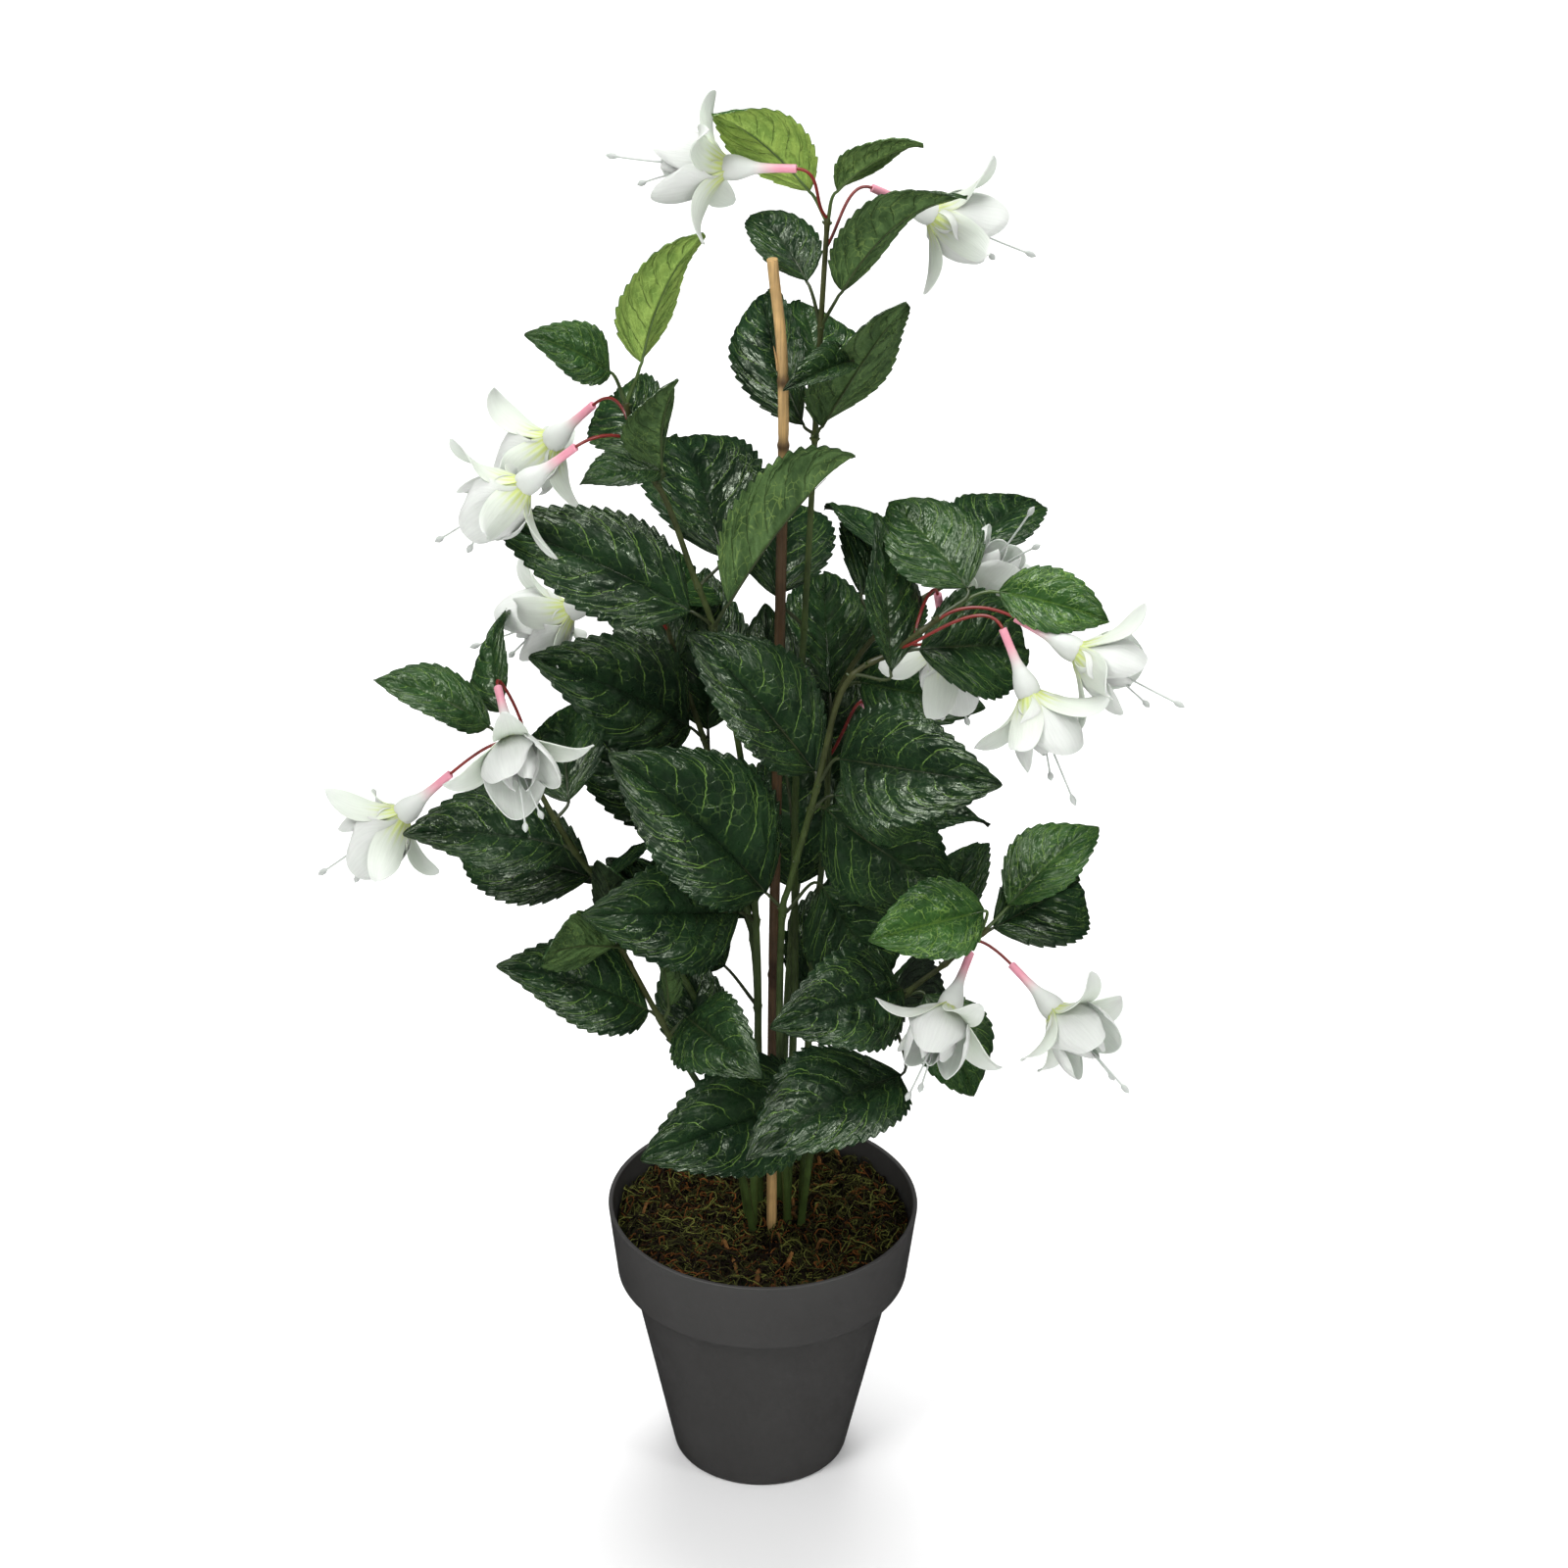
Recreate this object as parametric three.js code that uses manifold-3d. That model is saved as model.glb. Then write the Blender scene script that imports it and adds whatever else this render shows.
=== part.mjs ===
// A potted fuchsia: a dark plastic pot, the block and the moss inside it, a bamboo cane, leafy green
// stems, and white blooms that hang from them on thin red stalks.
// Millimetres, +Z up. The origin is on the pot's axis, on the floor that it stands on.
// Headings are degrees round +Z from +X; a rise is degrees above level.
import * as THREE from 'three';
import { mergeVertices } from 'three/addons/utils/BufferGeometryUtils.js';
import Module from 'manifold-3d';

const wasm = await Module();
wasm.setup();

// ---- driving dimensions -------------------------------------------------------------------------

const GAP = 0.3; // clearance between pieces that touch

const POT_HEIGHT = 155;
const POT_RIM_RADIUS = 82.5;
const COLLAR_FOOT_RADIUS = 77.5;
const COLLAR_FOOT_HEIGHT = 113;
const POT_BODY_RADIUS = 70.6; // just below the collar
const POT_BASE_RADIUS = 46.7;
const POT_WALL = 2.5;
const POT_SIDES = 32;
const FILLER_SIDES = 24;

const FILLER_TOP = 126;
const ROOT_HEIGHT = 104; // how deep the stems and the cane go down
const MOSS_TOP = 142;
const MOSS_BUMP = 3.5;
const MOSS_RINGS = 4;
const MOSS_SPOKES = 24;
const MOSS_SEED = 11;

const CANE_RADIUS = 2.9;
const CANE_SIDES = 8;
const BORE_SIDES = 5;

const STEM_SIDES = 5;
const STEM_FOOT_RADIUS = 2.3;
const STEM_TOP_RADIUS = 1.3;

const BLADE_THICKNESS = 0.7;
const LEAF_WIDTH = 0.3; // half width, as a share of the leaf's length
const LEAF_STALK_RADIUS = 0.95;
const TOOTH = 0.035; // depth, as a share of the leaf's length

const BLOOM_SIDES = 6;
const SEPAL_LENGTH = 39;
const PETAL_LENGTH = 34;
const THREAD_RADIUS = 0.7;
const STALK_RADIUS = 0.85;
const STALK_SIDES = 3;
const STALK_SPANS = 5;

// ---- where things grow --------------------------------------------------------------------------

const CANE_ROUTE = [[5, -6, ROOT_HEIGHT], [4, -4, 295], [5, 0, 500], [5, 2, 628], [-1, 2, 693]];
const CANE_NODES = [298, 596, 630]; // heights of the rings round the cane
const CANE_STATIONS = [ROOT_HEIGHT, 200, 430, 520, 665, 693]; // more heights that its skin goes through

// The stems' routes, from the root in the filler to the growing tip.
const STEMS = {
  crown: [[12, 6, ROOT_HEIGHT], [13, 7, 150], [15, 10, 280], [14, 12, 400], [18, 16, 512],
    [21, 14, 600], [23, 5, 665], [25, 0, 716]],
  left_high: [[-4, -4, ROOT_HEIGHT], [-5, -5, 150], [-4, -4, 294], [-12, -8, 413], [-27, -15, 500],
    [-38, -19, 536], [-50, -22, 574], [-64, -27, 606], [-70, -30, 632]],
  front: [[13, -3, ROOT_HEIGHT], [13, -4, 150], [8, -20, 256], [8, -28, 344], [12, -32, 370],
    [24, -42, 428], [37, -48, 490], [62, -52, 513], [82, -55, 532]],
  left_mid: [[-8, 5, ROOT_HEIGHT], [-9, 4, 150], [-26, -2, 250], [-44, -8, 300], [-71, -20, 344],
    [-97, -30, 385], [-121, -36, 437], [-134, -36, 456]],
  left_low: [[-4, -12, ROOT_HEIGHT], [-6, -13, 150], [-19, -30, 225], [-34, -42, 255], [-54, -50, 300],
    [-73, -56, 345]],
  right_low: [[20, -4, ROOT_HEIGHT], [21, -5, 150], [30, -22, 235], [45, -28, 274], [74, -40, 312],
    [91, -44, 330], [112, -48, 354]],
  right_high: [[20, 5, ROOT_HEIGHT], [21, 6, 150], [24, 24, 280], [30, 40, 360], [34, 50, 429],
    [59, 54, 472], [98, 54, 502]],
  left_back: [[-1, 12, ROOT_HEIGHT], [-2, 13, 150], [-5, 24, 280], [-14, 36, 331], [-28, 46, 389],
    [-43, 50, 437], [-55, 52, 478]],
  back: [[9, 15, ROOT_HEIGHT], [9, 17, 150], [12, 42, 274], [18, 62, 328], [28, 80, 374],
    [34, 90, 405]],
};

// The leaves of each stem: [height of its root on the stem, length of its own stalk, heading, rise,
// length, roll, options]. A roll turns the blade about its midrib, left side up for a plus.
const LEAVES = {
  crown: [
    [713, 17, 196, 44, 66, 59, { from: 160, lift: 58 }],
    [713, 17, 340, 37, 52, -39, { from: 350, lift: 75, wide: 0.26 }],
    [657, 25, 342, 46, 84, -32, { from: 322, lift: 61, wide: 0.28, arch: 0.1 }],
    [657, 23, 121, 18, 57, -5, { from: 147, lift: 69, arch: 0.09 }],
    [596, 9, 103, 22, 98, -42, { from: 200, lift: 45, wide: 0.26, fold: 42, arch: 0.09 }],
    [606, 11, 99, 23, 70, 20, { from: 69, lift: 28, wide: 0.36, fold: 20, arch: 0.02 }],
    [626, 31, 225, -1, 44, -39, { from: 309, lift: 38, wide: 0.28, fold: 45 }],
    [594, 15, 340, 62, 84, -29, { from: 288, lift: 48, fold: 6, arch: 0 }],
    [490, 22, 92, 8, 96, 10, { from: 170, lift: 50 }],
  ],
  left_high: [
    [631, 22, 20, 66, 70, -63, { from: 20, lift: 70 }],
    [631, 20, 207, 33, 50, -55, { from: 205, lift: 66 }],
    [596, 9, 111, 1, 72, -39, { from: 45, lift: 44, fold: 11, arch: 0.1 }],
    [590, 9, 332, 82, 50, -10, { from: 310, lift: 46, wide: 0.39, fold: 26 }],
    [586, 16, 211, 7, 44, -8, { from: 281, lift: 48, wide: 0.34, fold: 6 }],
    [506, 22, 176, 25, 107, -47, { from: 229, lift: 41, wide: 0.26, fold: 20 }],
    [528, 22, 104, 13, 104, -5, { from: 54, lift: 28 }],
    [504, 26, 341, 57, 113, -51, { from: 300, lift: 54, wide: 0.23, fold: 56, arch: 0.04 }],
    [330, 16, 222, 20, 104, -66],
  ],
  front: [
    [497, 24, 100, 64, 77, 51, { from: 325, lift: 21, wide: 0.33, fold: 9, arch: 0 }],
    [532, 20, 133, 26, 62, -19, { from: 36, lift: 35, wide: 0.4, fold: 12 }],
    [524, 42, 352, -11, 55, 47, { from: 8, lift: 27, wide: 0.32, fold: 24 }],
    [505, 24, 38, -16, 76, 55, { from: 15, lift: 10, wide: 0.38 }],
    [432, 24, 319, 13, 100, 63, { lift: 55 }],
    [428, 10, 173, 50, 97, -37, { from: 100, lift: 60, fold: 20, arch: 0.04 }],
    [352, 14, 180, 46, 110, -46, { from: 194, lift: 51, wide: 0.39, fold: 31 }],
    [416, 14, 28, -16, 66, 62, { wide: 0.38 }],
    [348, 31, 9, -60, 71, 85, { from: 49, lift: 6, wide: 0.37, fold: 10, arch: 0.09 }],
    [384, 30, 3, -37, 81, 86, { from: 50, lift: 42, wide: 0.37, fold: 4, arch: 0.09 }],
    [218, 34, 214, -1, 104, -48, { from: 315, lift: 45 }],
  ],
  left_mid: [
    [452, 10, 185, 29, 62, -21],
    [454, 12, 92, 27, 64, -62],
    [384, 8, 200, 16, 84, -34],
    [404, 12, 92, 11, 80, -23, { from: 50 }],
    [356, 12, 92, -32, 80, -20],
    [344, 26, 146, -3, 90, -48],
  ],
  left_low: [
    [343, 6, 179, 79, 48, 62],
    [343, 6, 229, 19, 58, 79],
    [299, 8, 200, 29, 88, -40],
    [288, 16, 298, 8, 76, 42, { from: 340, lift: 50 }],
    [296, 10, 150, 74, 42, 62, { from: 20 }],
  ],
  right_low: [
    [350, 17, 210, 2, 65, -47, { from: 273, lift: 73, wide: 0.36, fold: 27, arch: 0.01 }],
    [352, 18, 40, 24, 66, 14, { lift: 30 }],
    [346, 12, 55, -8, 88, 47, { from: 20 }],
    [330, 14, 79, 11, 80, -29],
    [306, 14, 329, -58, 60, 30, { from: 340, lift: 20, wide: 0.36 }],
    [310, 8, 227, 12, 92, -53],
    [286, 10, 62, -24, 84, -58],
    [300, 36, 224, 0, 106, -19, { from: 290, lift: -62 }],
  ],
  right_high: [
    [470, 22, 80, 1, 84, 27, { from: 170, lift: 60 }],
    [480, 26, 120, 6, 66, 20, { from: 150, lift: 75 }],
    [498, 12, 60, 4, 80, 4],
    [436, 14, 334, 2, 68, 60],
  ],
  left_back: [
    [408, 12, 207, 35, 104, -60],
    [440, 12, 109, 12, 80, -23],
    [475, 10, 77, -10, 66, 35],
  ],
  back: [
    [400, 10, 60, 20, 90, 0],
    [392, 22, 94, 32, 76, -5, { from: 90, lift: 82, wide: 0.36, fold: 31 }],
    [330, 12, 20, 0, 96, 0],
  ],
};

// The blooms: the stem each hangs from and its height there, the top of its tube, the direction it
// points in, how far it is turned about that direction, and how far its sepals open.
const BLOOMS = {
  crown_left: { stem: 'crown', height: 723,
    top: [10, -13, 745], heading: 169, rise: -4, turn: 16, open: 124 },
  crown_right: { stem: 'crown', height: 700,
    top: [46, 20, 723], heading: 15, rise: -28, turn: 60, open: 80 },
  high_left_a: { stem: 'left_high', height: 619,
    top: [-87, 4, 615], heading: 152, rise: -46, turn: 60, open: 96 },
  high_left_b: { stem: 'left_high', height: 611,
    top: [-93, -49, 617], heading: 171, rise: -41, turn: 60, open: 95 },
  back_left: { stem: 'left_back', height: 470,
    top: [-72, 30, 506], heading: 173, rise: -31, turn: 10, open: 90 },
  left_tip: { stem: 'left_mid', height: 450,
    top: [-157, -44, 436], heading: 179, rise: -44, turn: 50, open: 85 },
  left_face: { stem: 'left_mid', height: 438,
    top: [-132, -54, 490], heading: 285, rise: -22, turn: 72, open: 88 },
  right_up: { stem: 'right_high', height: 470,
    top: [80, 30, 476], heading: 357, rise: 54, turn: 15, open: 80 },
  right_out: { stem: 'front', height: 531,
    top: [118, -62, 536], heading: 346, rise: -24, turn: 50, open: 75 },
  right_down: { stem: 'front', height: 515,
    top: [112, -68, 533], heading: 318, rise: -58, turn: 40, open: 80 },
  right_back: { stem: 'front', height: 521,
    top: [82, -22, 528], heading: 60, rise: -72, turn: 45, open: 80 },
  low_front: { stem: 'right_low', height: 340,
    top: [103, -56, 344], heading: 248, rise: -28, turn: 20, open: 95 },
  low_right: { stem: 'right_low', height: 346,
    top: [124, -52, 335], heading: 315, rise: -24, turn: 60, open: 105 },
  back_right: { stem: 'right_high', height: 400,
    top: [48, 60, 424], heading: 62, rise: -40, turn: 0, open: 85 },
};

// ---- colours ------------------------------------------------------------------------------------

const finish = (color, roughness) => new THREE.MeshStandardMaterial({ color, roughness, metalness: 0 });
const POT_GREY = '#424240';
const FILLER_GREY = '#8b8780';
const MOSS_BROWN = '#4d3a20';
const CANE_TAN = '#c39a5c';
const LEAF_GREENS = ['#1f3f22', '#24492a', '#1b3820'];
const PETAL_WHITE = '#edf0e8';
const STALK_RED = '#7c1f22';

// ---- shared geometry ----------------------------------------------------------------------------

const UP = new THREE.Vector3(0, 0, 1);
const vector = (xyz) => new THREE.Vector3(...xyz);
const radians = THREE.MathUtils.degToRad;

// start + each direction times its amount
function along(start, ...steps) {
  const point = start.clone();
  for (const [direction, amount] of steps) point.addScaledVector(direction, amount);
  return point;
}

function direction(heading, rise) {
  const h = radians(heading);
  const r = radians(rise);
  return new THREE.Vector3(Math.cos(h) * Math.cos(r), Math.sin(h) * Math.cos(r), Math.sin(r));
}

// A closed skin of points and triangles as a solid, its faces turned out.
function closedSkin(points, faces) {
  const volume = faces.reduce((sum, [a, b, c]) =>
    sum + points[a].dot(new THREE.Vector3().crossVectors(points[b], points[c])), 0);
  const outward = volume > 0 ? faces : faces.map(([a, b, c]) => [a, c, b]);
  const vertProperties = new Float32Array(points.flatMap((p) => p.toArray()));
  const triVerts = new Uint32Array(outward.flat());
  return new wasm.Manifold(new wasm.Mesh({ numProp: 3, vertProperties, triVerts }));
}

function solidOf(geometry) {
  geometry.deleteAttribute('normal');
  geometry.deleteAttribute('uv');
  const merged = mergeVertices(geometry, 1e-4);
  const vertProperties = new Float32Array(merged.attributes.position.array);
  const triVerts = new Uint32Array(merged.index.array);
  return new wasm.Manifold(new wasm.Mesh({ numProp: 3, vertProperties, triVerts }));
}

function geometryOf(solid) {
  const mesh = solid.getMesh();
  const geometry = new THREE.BufferGeometry();
  geometry.setAttribute('position', new THREE.BufferAttribute(new Float32Array(mesh.vertProperties), 3));
  geometry.setIndex(new THREE.BufferAttribute(new Uint32Array(mesh.triVerts), 1));
  geometry.computeVertexNormals();
  return geometry;
}

const fused = (solids) => solids.reduce((whole, next) => whole.add(next));

// Rings of equally many points, joined one to the next and closed flat at both ends.
function loft(rings) {
  const sides = rings[0].length;
  const faces = [];
  for (let k = 1; k < sides - 1; k++) faces.push([0, k + 1, k]);
  for (let ring = 1; ring < rings.length; ring++) {
    for (let k = 0; k < sides; k++) {
      const a = (ring - 1) * sides + k;
      const b = (ring - 1) * sides + (k + 1) % sides;
      faces.push([a, b, b + sides], [a, b + sides, a + sides]);
    }
  }
  const last = (rings.length - 1) * sides;
  for (let k = 1; k < sides - 1; k++) faces.push([last, last + k, last + k + 1]);
  return closedSkin(rings.flat(), faces);
}

// A tube through the points, with a radius for each and its rings turned as little as can be.
function tube(points, radii, sides) {
  let side = null;
  const rings = points.map((point, i) => {
    const ahead = points[Math.min(i + 1, points.length - 1)];
    const behind = points[Math.max(i - 1, 0)];
    const tangent = ahead.clone().sub(behind).normalize();
    side = side ?? new THREE.Vector3(1, 0.2, 0.1);
    side = side.clone().addScaledVector(tangent, -side.dot(tangent)).normalize();
    const across = new THREE.Vector3().crossVectors(tangent, side);
    return Array.from({ length: sides }, (_, k) => {
      const angle = 2 * Math.PI * k / sides;
      return along(point, [side, radii[i] * Math.cos(angle)], [across, radii[i] * Math.sin(angle)]);
    });
  });
  return loft(rings);
}

// A thin blade: rows of { point, normal } across it, of one to three points each.
function blade(rows) {
  const half = BLADE_THICKNESS / 2;
  const points = [];
  const skin = (offset) => rows.map((row) => row.map(({ point, normal }) =>
    points.push(along(point, [normal, offset])) - 1));
  const top = skin(half);
  const under = skin(-half);
  const faces = [];
  for (let r = 1; r < rows.length; r++) {
    for (const [a, b, c] of strip(rows[r - 1].length, rows[r].length)) {
      const pick = (face, [row, k]) => face[r - 1 + row][k];
      faces.push([pick(top, a), pick(top, b), pick(top, c)]);
      faces.push([pick(under, a), pick(under, c), pick(under, b)]);
    }
  }
  const rim = [];
  rows.forEach((row, r) => rim.push([r, 0]));
  for (let k = 1; k < rows.at(-1).length; k++) rim.push([rows.length - 1, k]);
  for (let r = rows.length - 2; r >= 0; r--) rim.push([r, rows[r].length - 1]);
  for (let k = rows[0].length - 2; k > 0; k--) rim.push([0, k]);
  rim.forEach(([row, k], i) => {
    const [nextRow, nextK] = rim[(i + 1) % rim.length];
    const [a, b] = [top[row][k], top[nextRow][nextK]];
    const [c, d] = [under[nextRow][nextK], under[row][k]];
    faces.push([b, a, d], [b, d, c]);
  });
  return closedSkin(points, faces);
}

// The triangles between a row of n points and the next of m, as [row, place in the row] corners.
function strip(n, m) {
  const triangles = [];
  let i = 0;
  let j = 0;
  while (i < n - 1 || j < m - 1) {
    const nearNext = (i + 1) / Math.max(n - 1, 1) <= (j + 1) / Math.max(m - 1, 1);
    if (j === m - 1 || (i < n - 1 && nearNext)) {
      triangles.push([[0, i], [1, j], [0, i + 1]]);
      i += 1;
    } else {
      triangles.push([[0, i], [1, j], [1, j + 1]]);
      j += 1;
    }
  }
  return triangles;
}

// ---- stems --------------------------------------------------------------------------------------

const curves = Object.fromEntries(Object.entries(STEMS).map(([name, route]) =>
  [name, new THREE.CatmullRomCurve3(route.map(vector), false, 'catmullrom', 0.5)]));

// The point of a stem at a height, which only grows along it.
function pointAtHeight(curve, height) {
  let low = 0;
  let high = 1;
  for (let i = 0; i < 30; i++) {
    const middle = (low + high) / 2;
    if (curve.getPoint(middle).z < height) low = middle;
    else high = middle;
  }
  return curve.getPoint(low);
}

// A stem thins evenly with height.
function stemRadius(curve, height) {
  const share = (height - ROOT_HEIGHT) / (curve.points.at(-1).z - ROOT_HEIGHT);
  return THREE.MathUtils.lerp(STEM_FOOT_RADIUS, STEM_TOP_RADIUS, share);
}

function stemSolid(curve) {
  const points = curve.getPoints(2 * (curve.points.length - 1));
  return tube(points, points.map((point) => stemRadius(curve, point.z)), STEM_SIDES);
}

// ---- leaves -------------------------------------------------------------------------------------

const leafShape = (u) => Math.sin(Math.PI * u ** 0.8) ** 0.9;

// Where a leaf lies: its root on the stem, the blade's foot, and its directions along, across and up.
function leafFrame(curve, [height, stalk, heading, rise, length, roll, options = {}]) {
  const { from = heading, lift = (rise + 60) / 2, ...shape } = options;
  const root = pointAtHeight(curve, height);
  const foot = along(root, [direction(from, lift), stalk]);
  const chord = direction(heading, rise);
  const level = new THREE.Vector3().crossVectors(UP, direction(heading, 0));
  const flat = new THREE.Vector3().crossVectors(chord, level);
  const turn = radians(roll);
  const side = along(new THREE.Vector3(), [level, Math.cos(turn)], [flat, Math.sin(turn)]);
  const normal = along(new THREE.Vector3(), [flat, Math.cos(turn)], [level, -Math.sin(turn)]);
  const defaults = { wide: LEAF_WIDTH, arch: 0.07, hook: 0.06, fold: 16, wave: 0.02 };
  return { root, foot, chord, side, normal, length, heading, ...defaults, ...shape };
}

// A point of the blade: u runs from foot to tip, v from the right edge at -1 to the left at 1, and
// reach is the half width there.
function bladePoint(leaf, u, v, reach) {
  const { foot, chord, side, normal, length } = leaf;
  const bend = leaf.arch * 4 * u * (1 - u) - leaf.hook * u ** 4;
  const slope = leaf.arch * 4 * (1 - 2 * u) - leaf.hook * 4 * u ** 3;
  const tangent = along(chord, [normal, slope]).normalize();
  const up = new THREE.Vector3().crossVectors(tangent, side);
  const fold = radians(leaf.fold);
  const ripple = leaf.wave * length * Math.sin(9 * u + leaf.heading + v) * v * v;
  const point = along(foot, [chord, length * u], [normal, length * bend],
    [side, v * reach * Math.cos(fold)], [up, Math.abs(v) * reach * Math.sin(fold) + ripple]);
  return { point, up };
}

function leafSolid(curve, row) {
  const leaf = leafFrame(curve, row);
  const teeth = Math.round(THREE.MathUtils.clamp(leaf.length / 24, 3, 5));
  const half = BLADE_THICKNESS / 2;
  const points = [];
  const faces = [];
  const quad = (a, b, c, d) => faces.push([a, b, c], [a, c, d]);
  const pair = ({ point, up }) => [half, -half].map((offset) => points.push(along(point, [up, offset])) - 1);

  // its own stalk: six-sided rings from the middle of the stem to the blade's first section
  const leave = leaf.foot.clone().sub(leaf.root);
  const arrive = along(leaf.chord, [leaf.normal, leaf.arch * 4]).normalize();
  const reach = leave.length();
  const stations = reach > 18 ? [0, 0.5] : [0];
  const bow = new THREE.CubicBezierCurve3(leaf.root, along(leaf.root, [leave, 0.4]),
    along(leaf.foot, [arrive, -0.35 * reach]), leaf.foot);
  let ring = null;
  for (const t of stations) {
    const tangent = bow.getTangent(t);
    const side = along(leaf.side, [tangent, -leaf.side.dot(tangent)]).normalize();
    const up = new THREE.Vector3().crossVectors(tangent, side);
    const next = [150, 90, 30, -30, -90, -150].map((degrees) => {
      const aside = -LEAF_STALK_RADIUS * Math.cos(radians(degrees));
      const above = LEAF_STALK_RADIUS * Math.sin(radians(degrees));
      return points.push(along(bow.getPoint(t), [side, aside], [up, above])) - 1;
    });
    if (ring) next.forEach((_, k) => quad(ring[k], ring[(k + 1) % 6], next[(k + 1) % 6], next[k]));
    else for (let k = 1; k < 5; k++) faces.push([next[0], next[k + 1], next[k]]);
    ring = next;
  }
  const middle = pair(bladePoint(leaf, 0, 0, 0));
  const sides = [1, -1].map((v) => pair(bladePoint(leaf, 0, v, 1.3)));
  const first = [sides[0][0], middle[0], sides[1][0], sides[1][1], middle[1], sides[0][1]];
  ring.forEach((_, k) => quad(ring[k], ring[(k + 1) % 6], first[(k + 1) % 6], first[k]));

  // the toothed blade, from one section to the next
  let here = { middle, sides };
  for (let tooth = 1; tooth <= teeth; tooth++) {
    const u = tooth / teeth;
    const peak = (tooth - 0.3) / teeth;
    const last = tooth === teeth;
    const next = { middle: pair(bladePoint(leaf, u, 0, 0)) };
    next.sides = last ? [next.middle, next.middle]
      : [1, -1].map((v) => pair(bladePoint(leaf, u, v, leaf.wide * leaf.length * leafShape(u))));
    const peakReach = leaf.length * (leaf.wide * leafShape(peak) + TOOTH);
    [1, -1].forEach((v, s) => {
      const point = pair(bladePoint(leaf, peak, v, peakReach));
      for (const face of [0, 1]) {
        const turned = (face === 0) === (v === 1);
        const tri = (a, b, c) => faces.push(turned ? [a, b, c] : [a, c, b]);
        tri(here.middle[face], point[face], here.sides[s][face]);
        tri(here.middle[face], next.middle[face], point[face]);
        if (!last) tri(next.middle[face], next.sides[s][face], point[face]);
      }
      for (const [a, b] of [[here.sides[s], point], [point, next.sides[s]]]) {
        if (v === 1) quad(a[0], b[0], b[1], a[1]);
        else quad(a[0], a[1], b[1], b[0]);
      }
    });
    here = next;
  }
  return closedSkin(points, faces);
}

const leafyStem = (name) =>
  fused([stemSolid(curves[name]), ...LEAVES[name].map((row) => leafSolid(curves[name], row))]);

// ---- blooms -------------------------------------------------------------------------------------

// [distance along the bloom, radius] of its tube and of the bulb that the tube swells into
const TUBE_PROFILE = [[0, 1.9], [20, 3.2], [31, 7.2], [37.5, 5.8]];
const SEPAL_FOOT = { along: 33, out: 4 };
const SEPAL_ROWS = [[0, 2.4, 2], [0.36, 8, 2], [0.72, 7.2, 2], [1, 3, 2]]; // [u, half width, points]
const SEPAL_START = 42; // degrees off the axis where a sepal leaves the bulb
const SEPAL_DROOPS = [6, -14, 4, -8]; // degrees by which each of the four opens more than the bloom says
const PETAL_FOOT = 34; // distance along the bloom where petals and threads start
const THREADS = [[58, 4, 90], [44, 10, 240]]; // [length, distance out at the tip, degrees round the bloom]
const PETAL_LAYERS = [
  { count: 3, start: 0, foot: 3.4, middle: 10, mouth: 6, spread: 58 },
  { count: 3, start: 60, foot: 4.6, middle: 15, mouth: 16.5, spread: 58 },
];

function bloomSolid({ top, heading, rise, turn, open }) {
  const origin = vector(top);
  const axis = direction(heading, rise);
  const level = new THREE.Vector3().crossVectors(UP, axis).normalize();
  const flat = new THREE.Vector3().crossVectors(axis, level);
  const spoke = (degrees) => along(new THREE.Vector3(),
    [level, Math.cos(radians(degrees + turn))], [flat, Math.sin(radians(degrees + turn))]);
  const place = (distance, out, degrees) => along(origin, [axis, distance], [spoke(degrees), out]);

  const tubeRings = TUBE_PROFILE.map(([distance, radius]) =>
    Array.from({ length: BLOOM_SIDES }, (_, k) => place(distance, radius, 360 * k / BLOOM_SIDES)));

  const sepal = (degrees, spread) => {
    const out = spoke(degrees);
    const across = new THREE.Vector3().crossVectors(axis, out);
    const start = radians(SEPAL_START);
    const swing = radians(spread) - start;
    return blade(SEPAL_ROWS.map(([u, halfWidth, count]) => {
      const angle = start + swing * u;
      const ahead = SEPAL_FOOT.along + SEPAL_LENGTH * (Math.sin(angle) - Math.sin(start)) / swing;
      const aside = SEPAL_FOOT.out + SEPAL_LENGTH * (Math.cos(start) - Math.cos(angle)) / swing;
      const normal = along(new THREE.Vector3(), [out, Math.cos(angle)], [axis, -Math.sin(angle)]);
      return Array.from({ length: count }, (_, k) => {
        const v = count > 1 ? 1 - 2 * k / (count - 1) : 0;
        const point = along(origin, [axis, ahead], [out, aside], [across, v * halfWidth],
          [normal, -0.25 * halfWidth * v * v]);
        return { point, normal };
      });
    }));
  };

  const petal = (layer, degrees) => {
    const rows = [[0, layer.foot, 0.5, 2], [0.55, layer.middle, 1, 3], [1, layer.mouth, 0.7, 2]];
    return blade(rows.map(([u, radius, share, count]) => Array.from({ length: count }, (_, k) => {
      const v = 1 - 2 * k / (count - 1);
      const angle = degrees + v * share * layer.spread;
      return { point: place(PETAL_FOOT + PETAL_LENGTH * u, radius, angle), normal: spoke(angle) };
    })));
  };

  const thread = ([reach, out, degrees]) => {
    const stations = [[0, 1], [0.9, 1], [1, 1.9]];
    return tube(stations.map(([u]) => place(PETAL_FOOT + reach * u, 0.8 + out * u * u, degrees)),
      stations.map(([, thick]) => thick * THREAD_RADIUS), 3);
  };

  const sepals = [0, 1, 2, 3].map((k) => sepal(90 * k + 30, open + SEPAL_DROOPS[k]));
  const petals = PETAL_LAYERS.flatMap((layer) => Array.from({ length: layer.count }, (_, k) =>
    petal(layer, layer.start + 360 * k / layer.count)));
  return fused([loft(tubeRings), ...sepals, ...petals, ...THREADS.map(thread)]);
}

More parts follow.
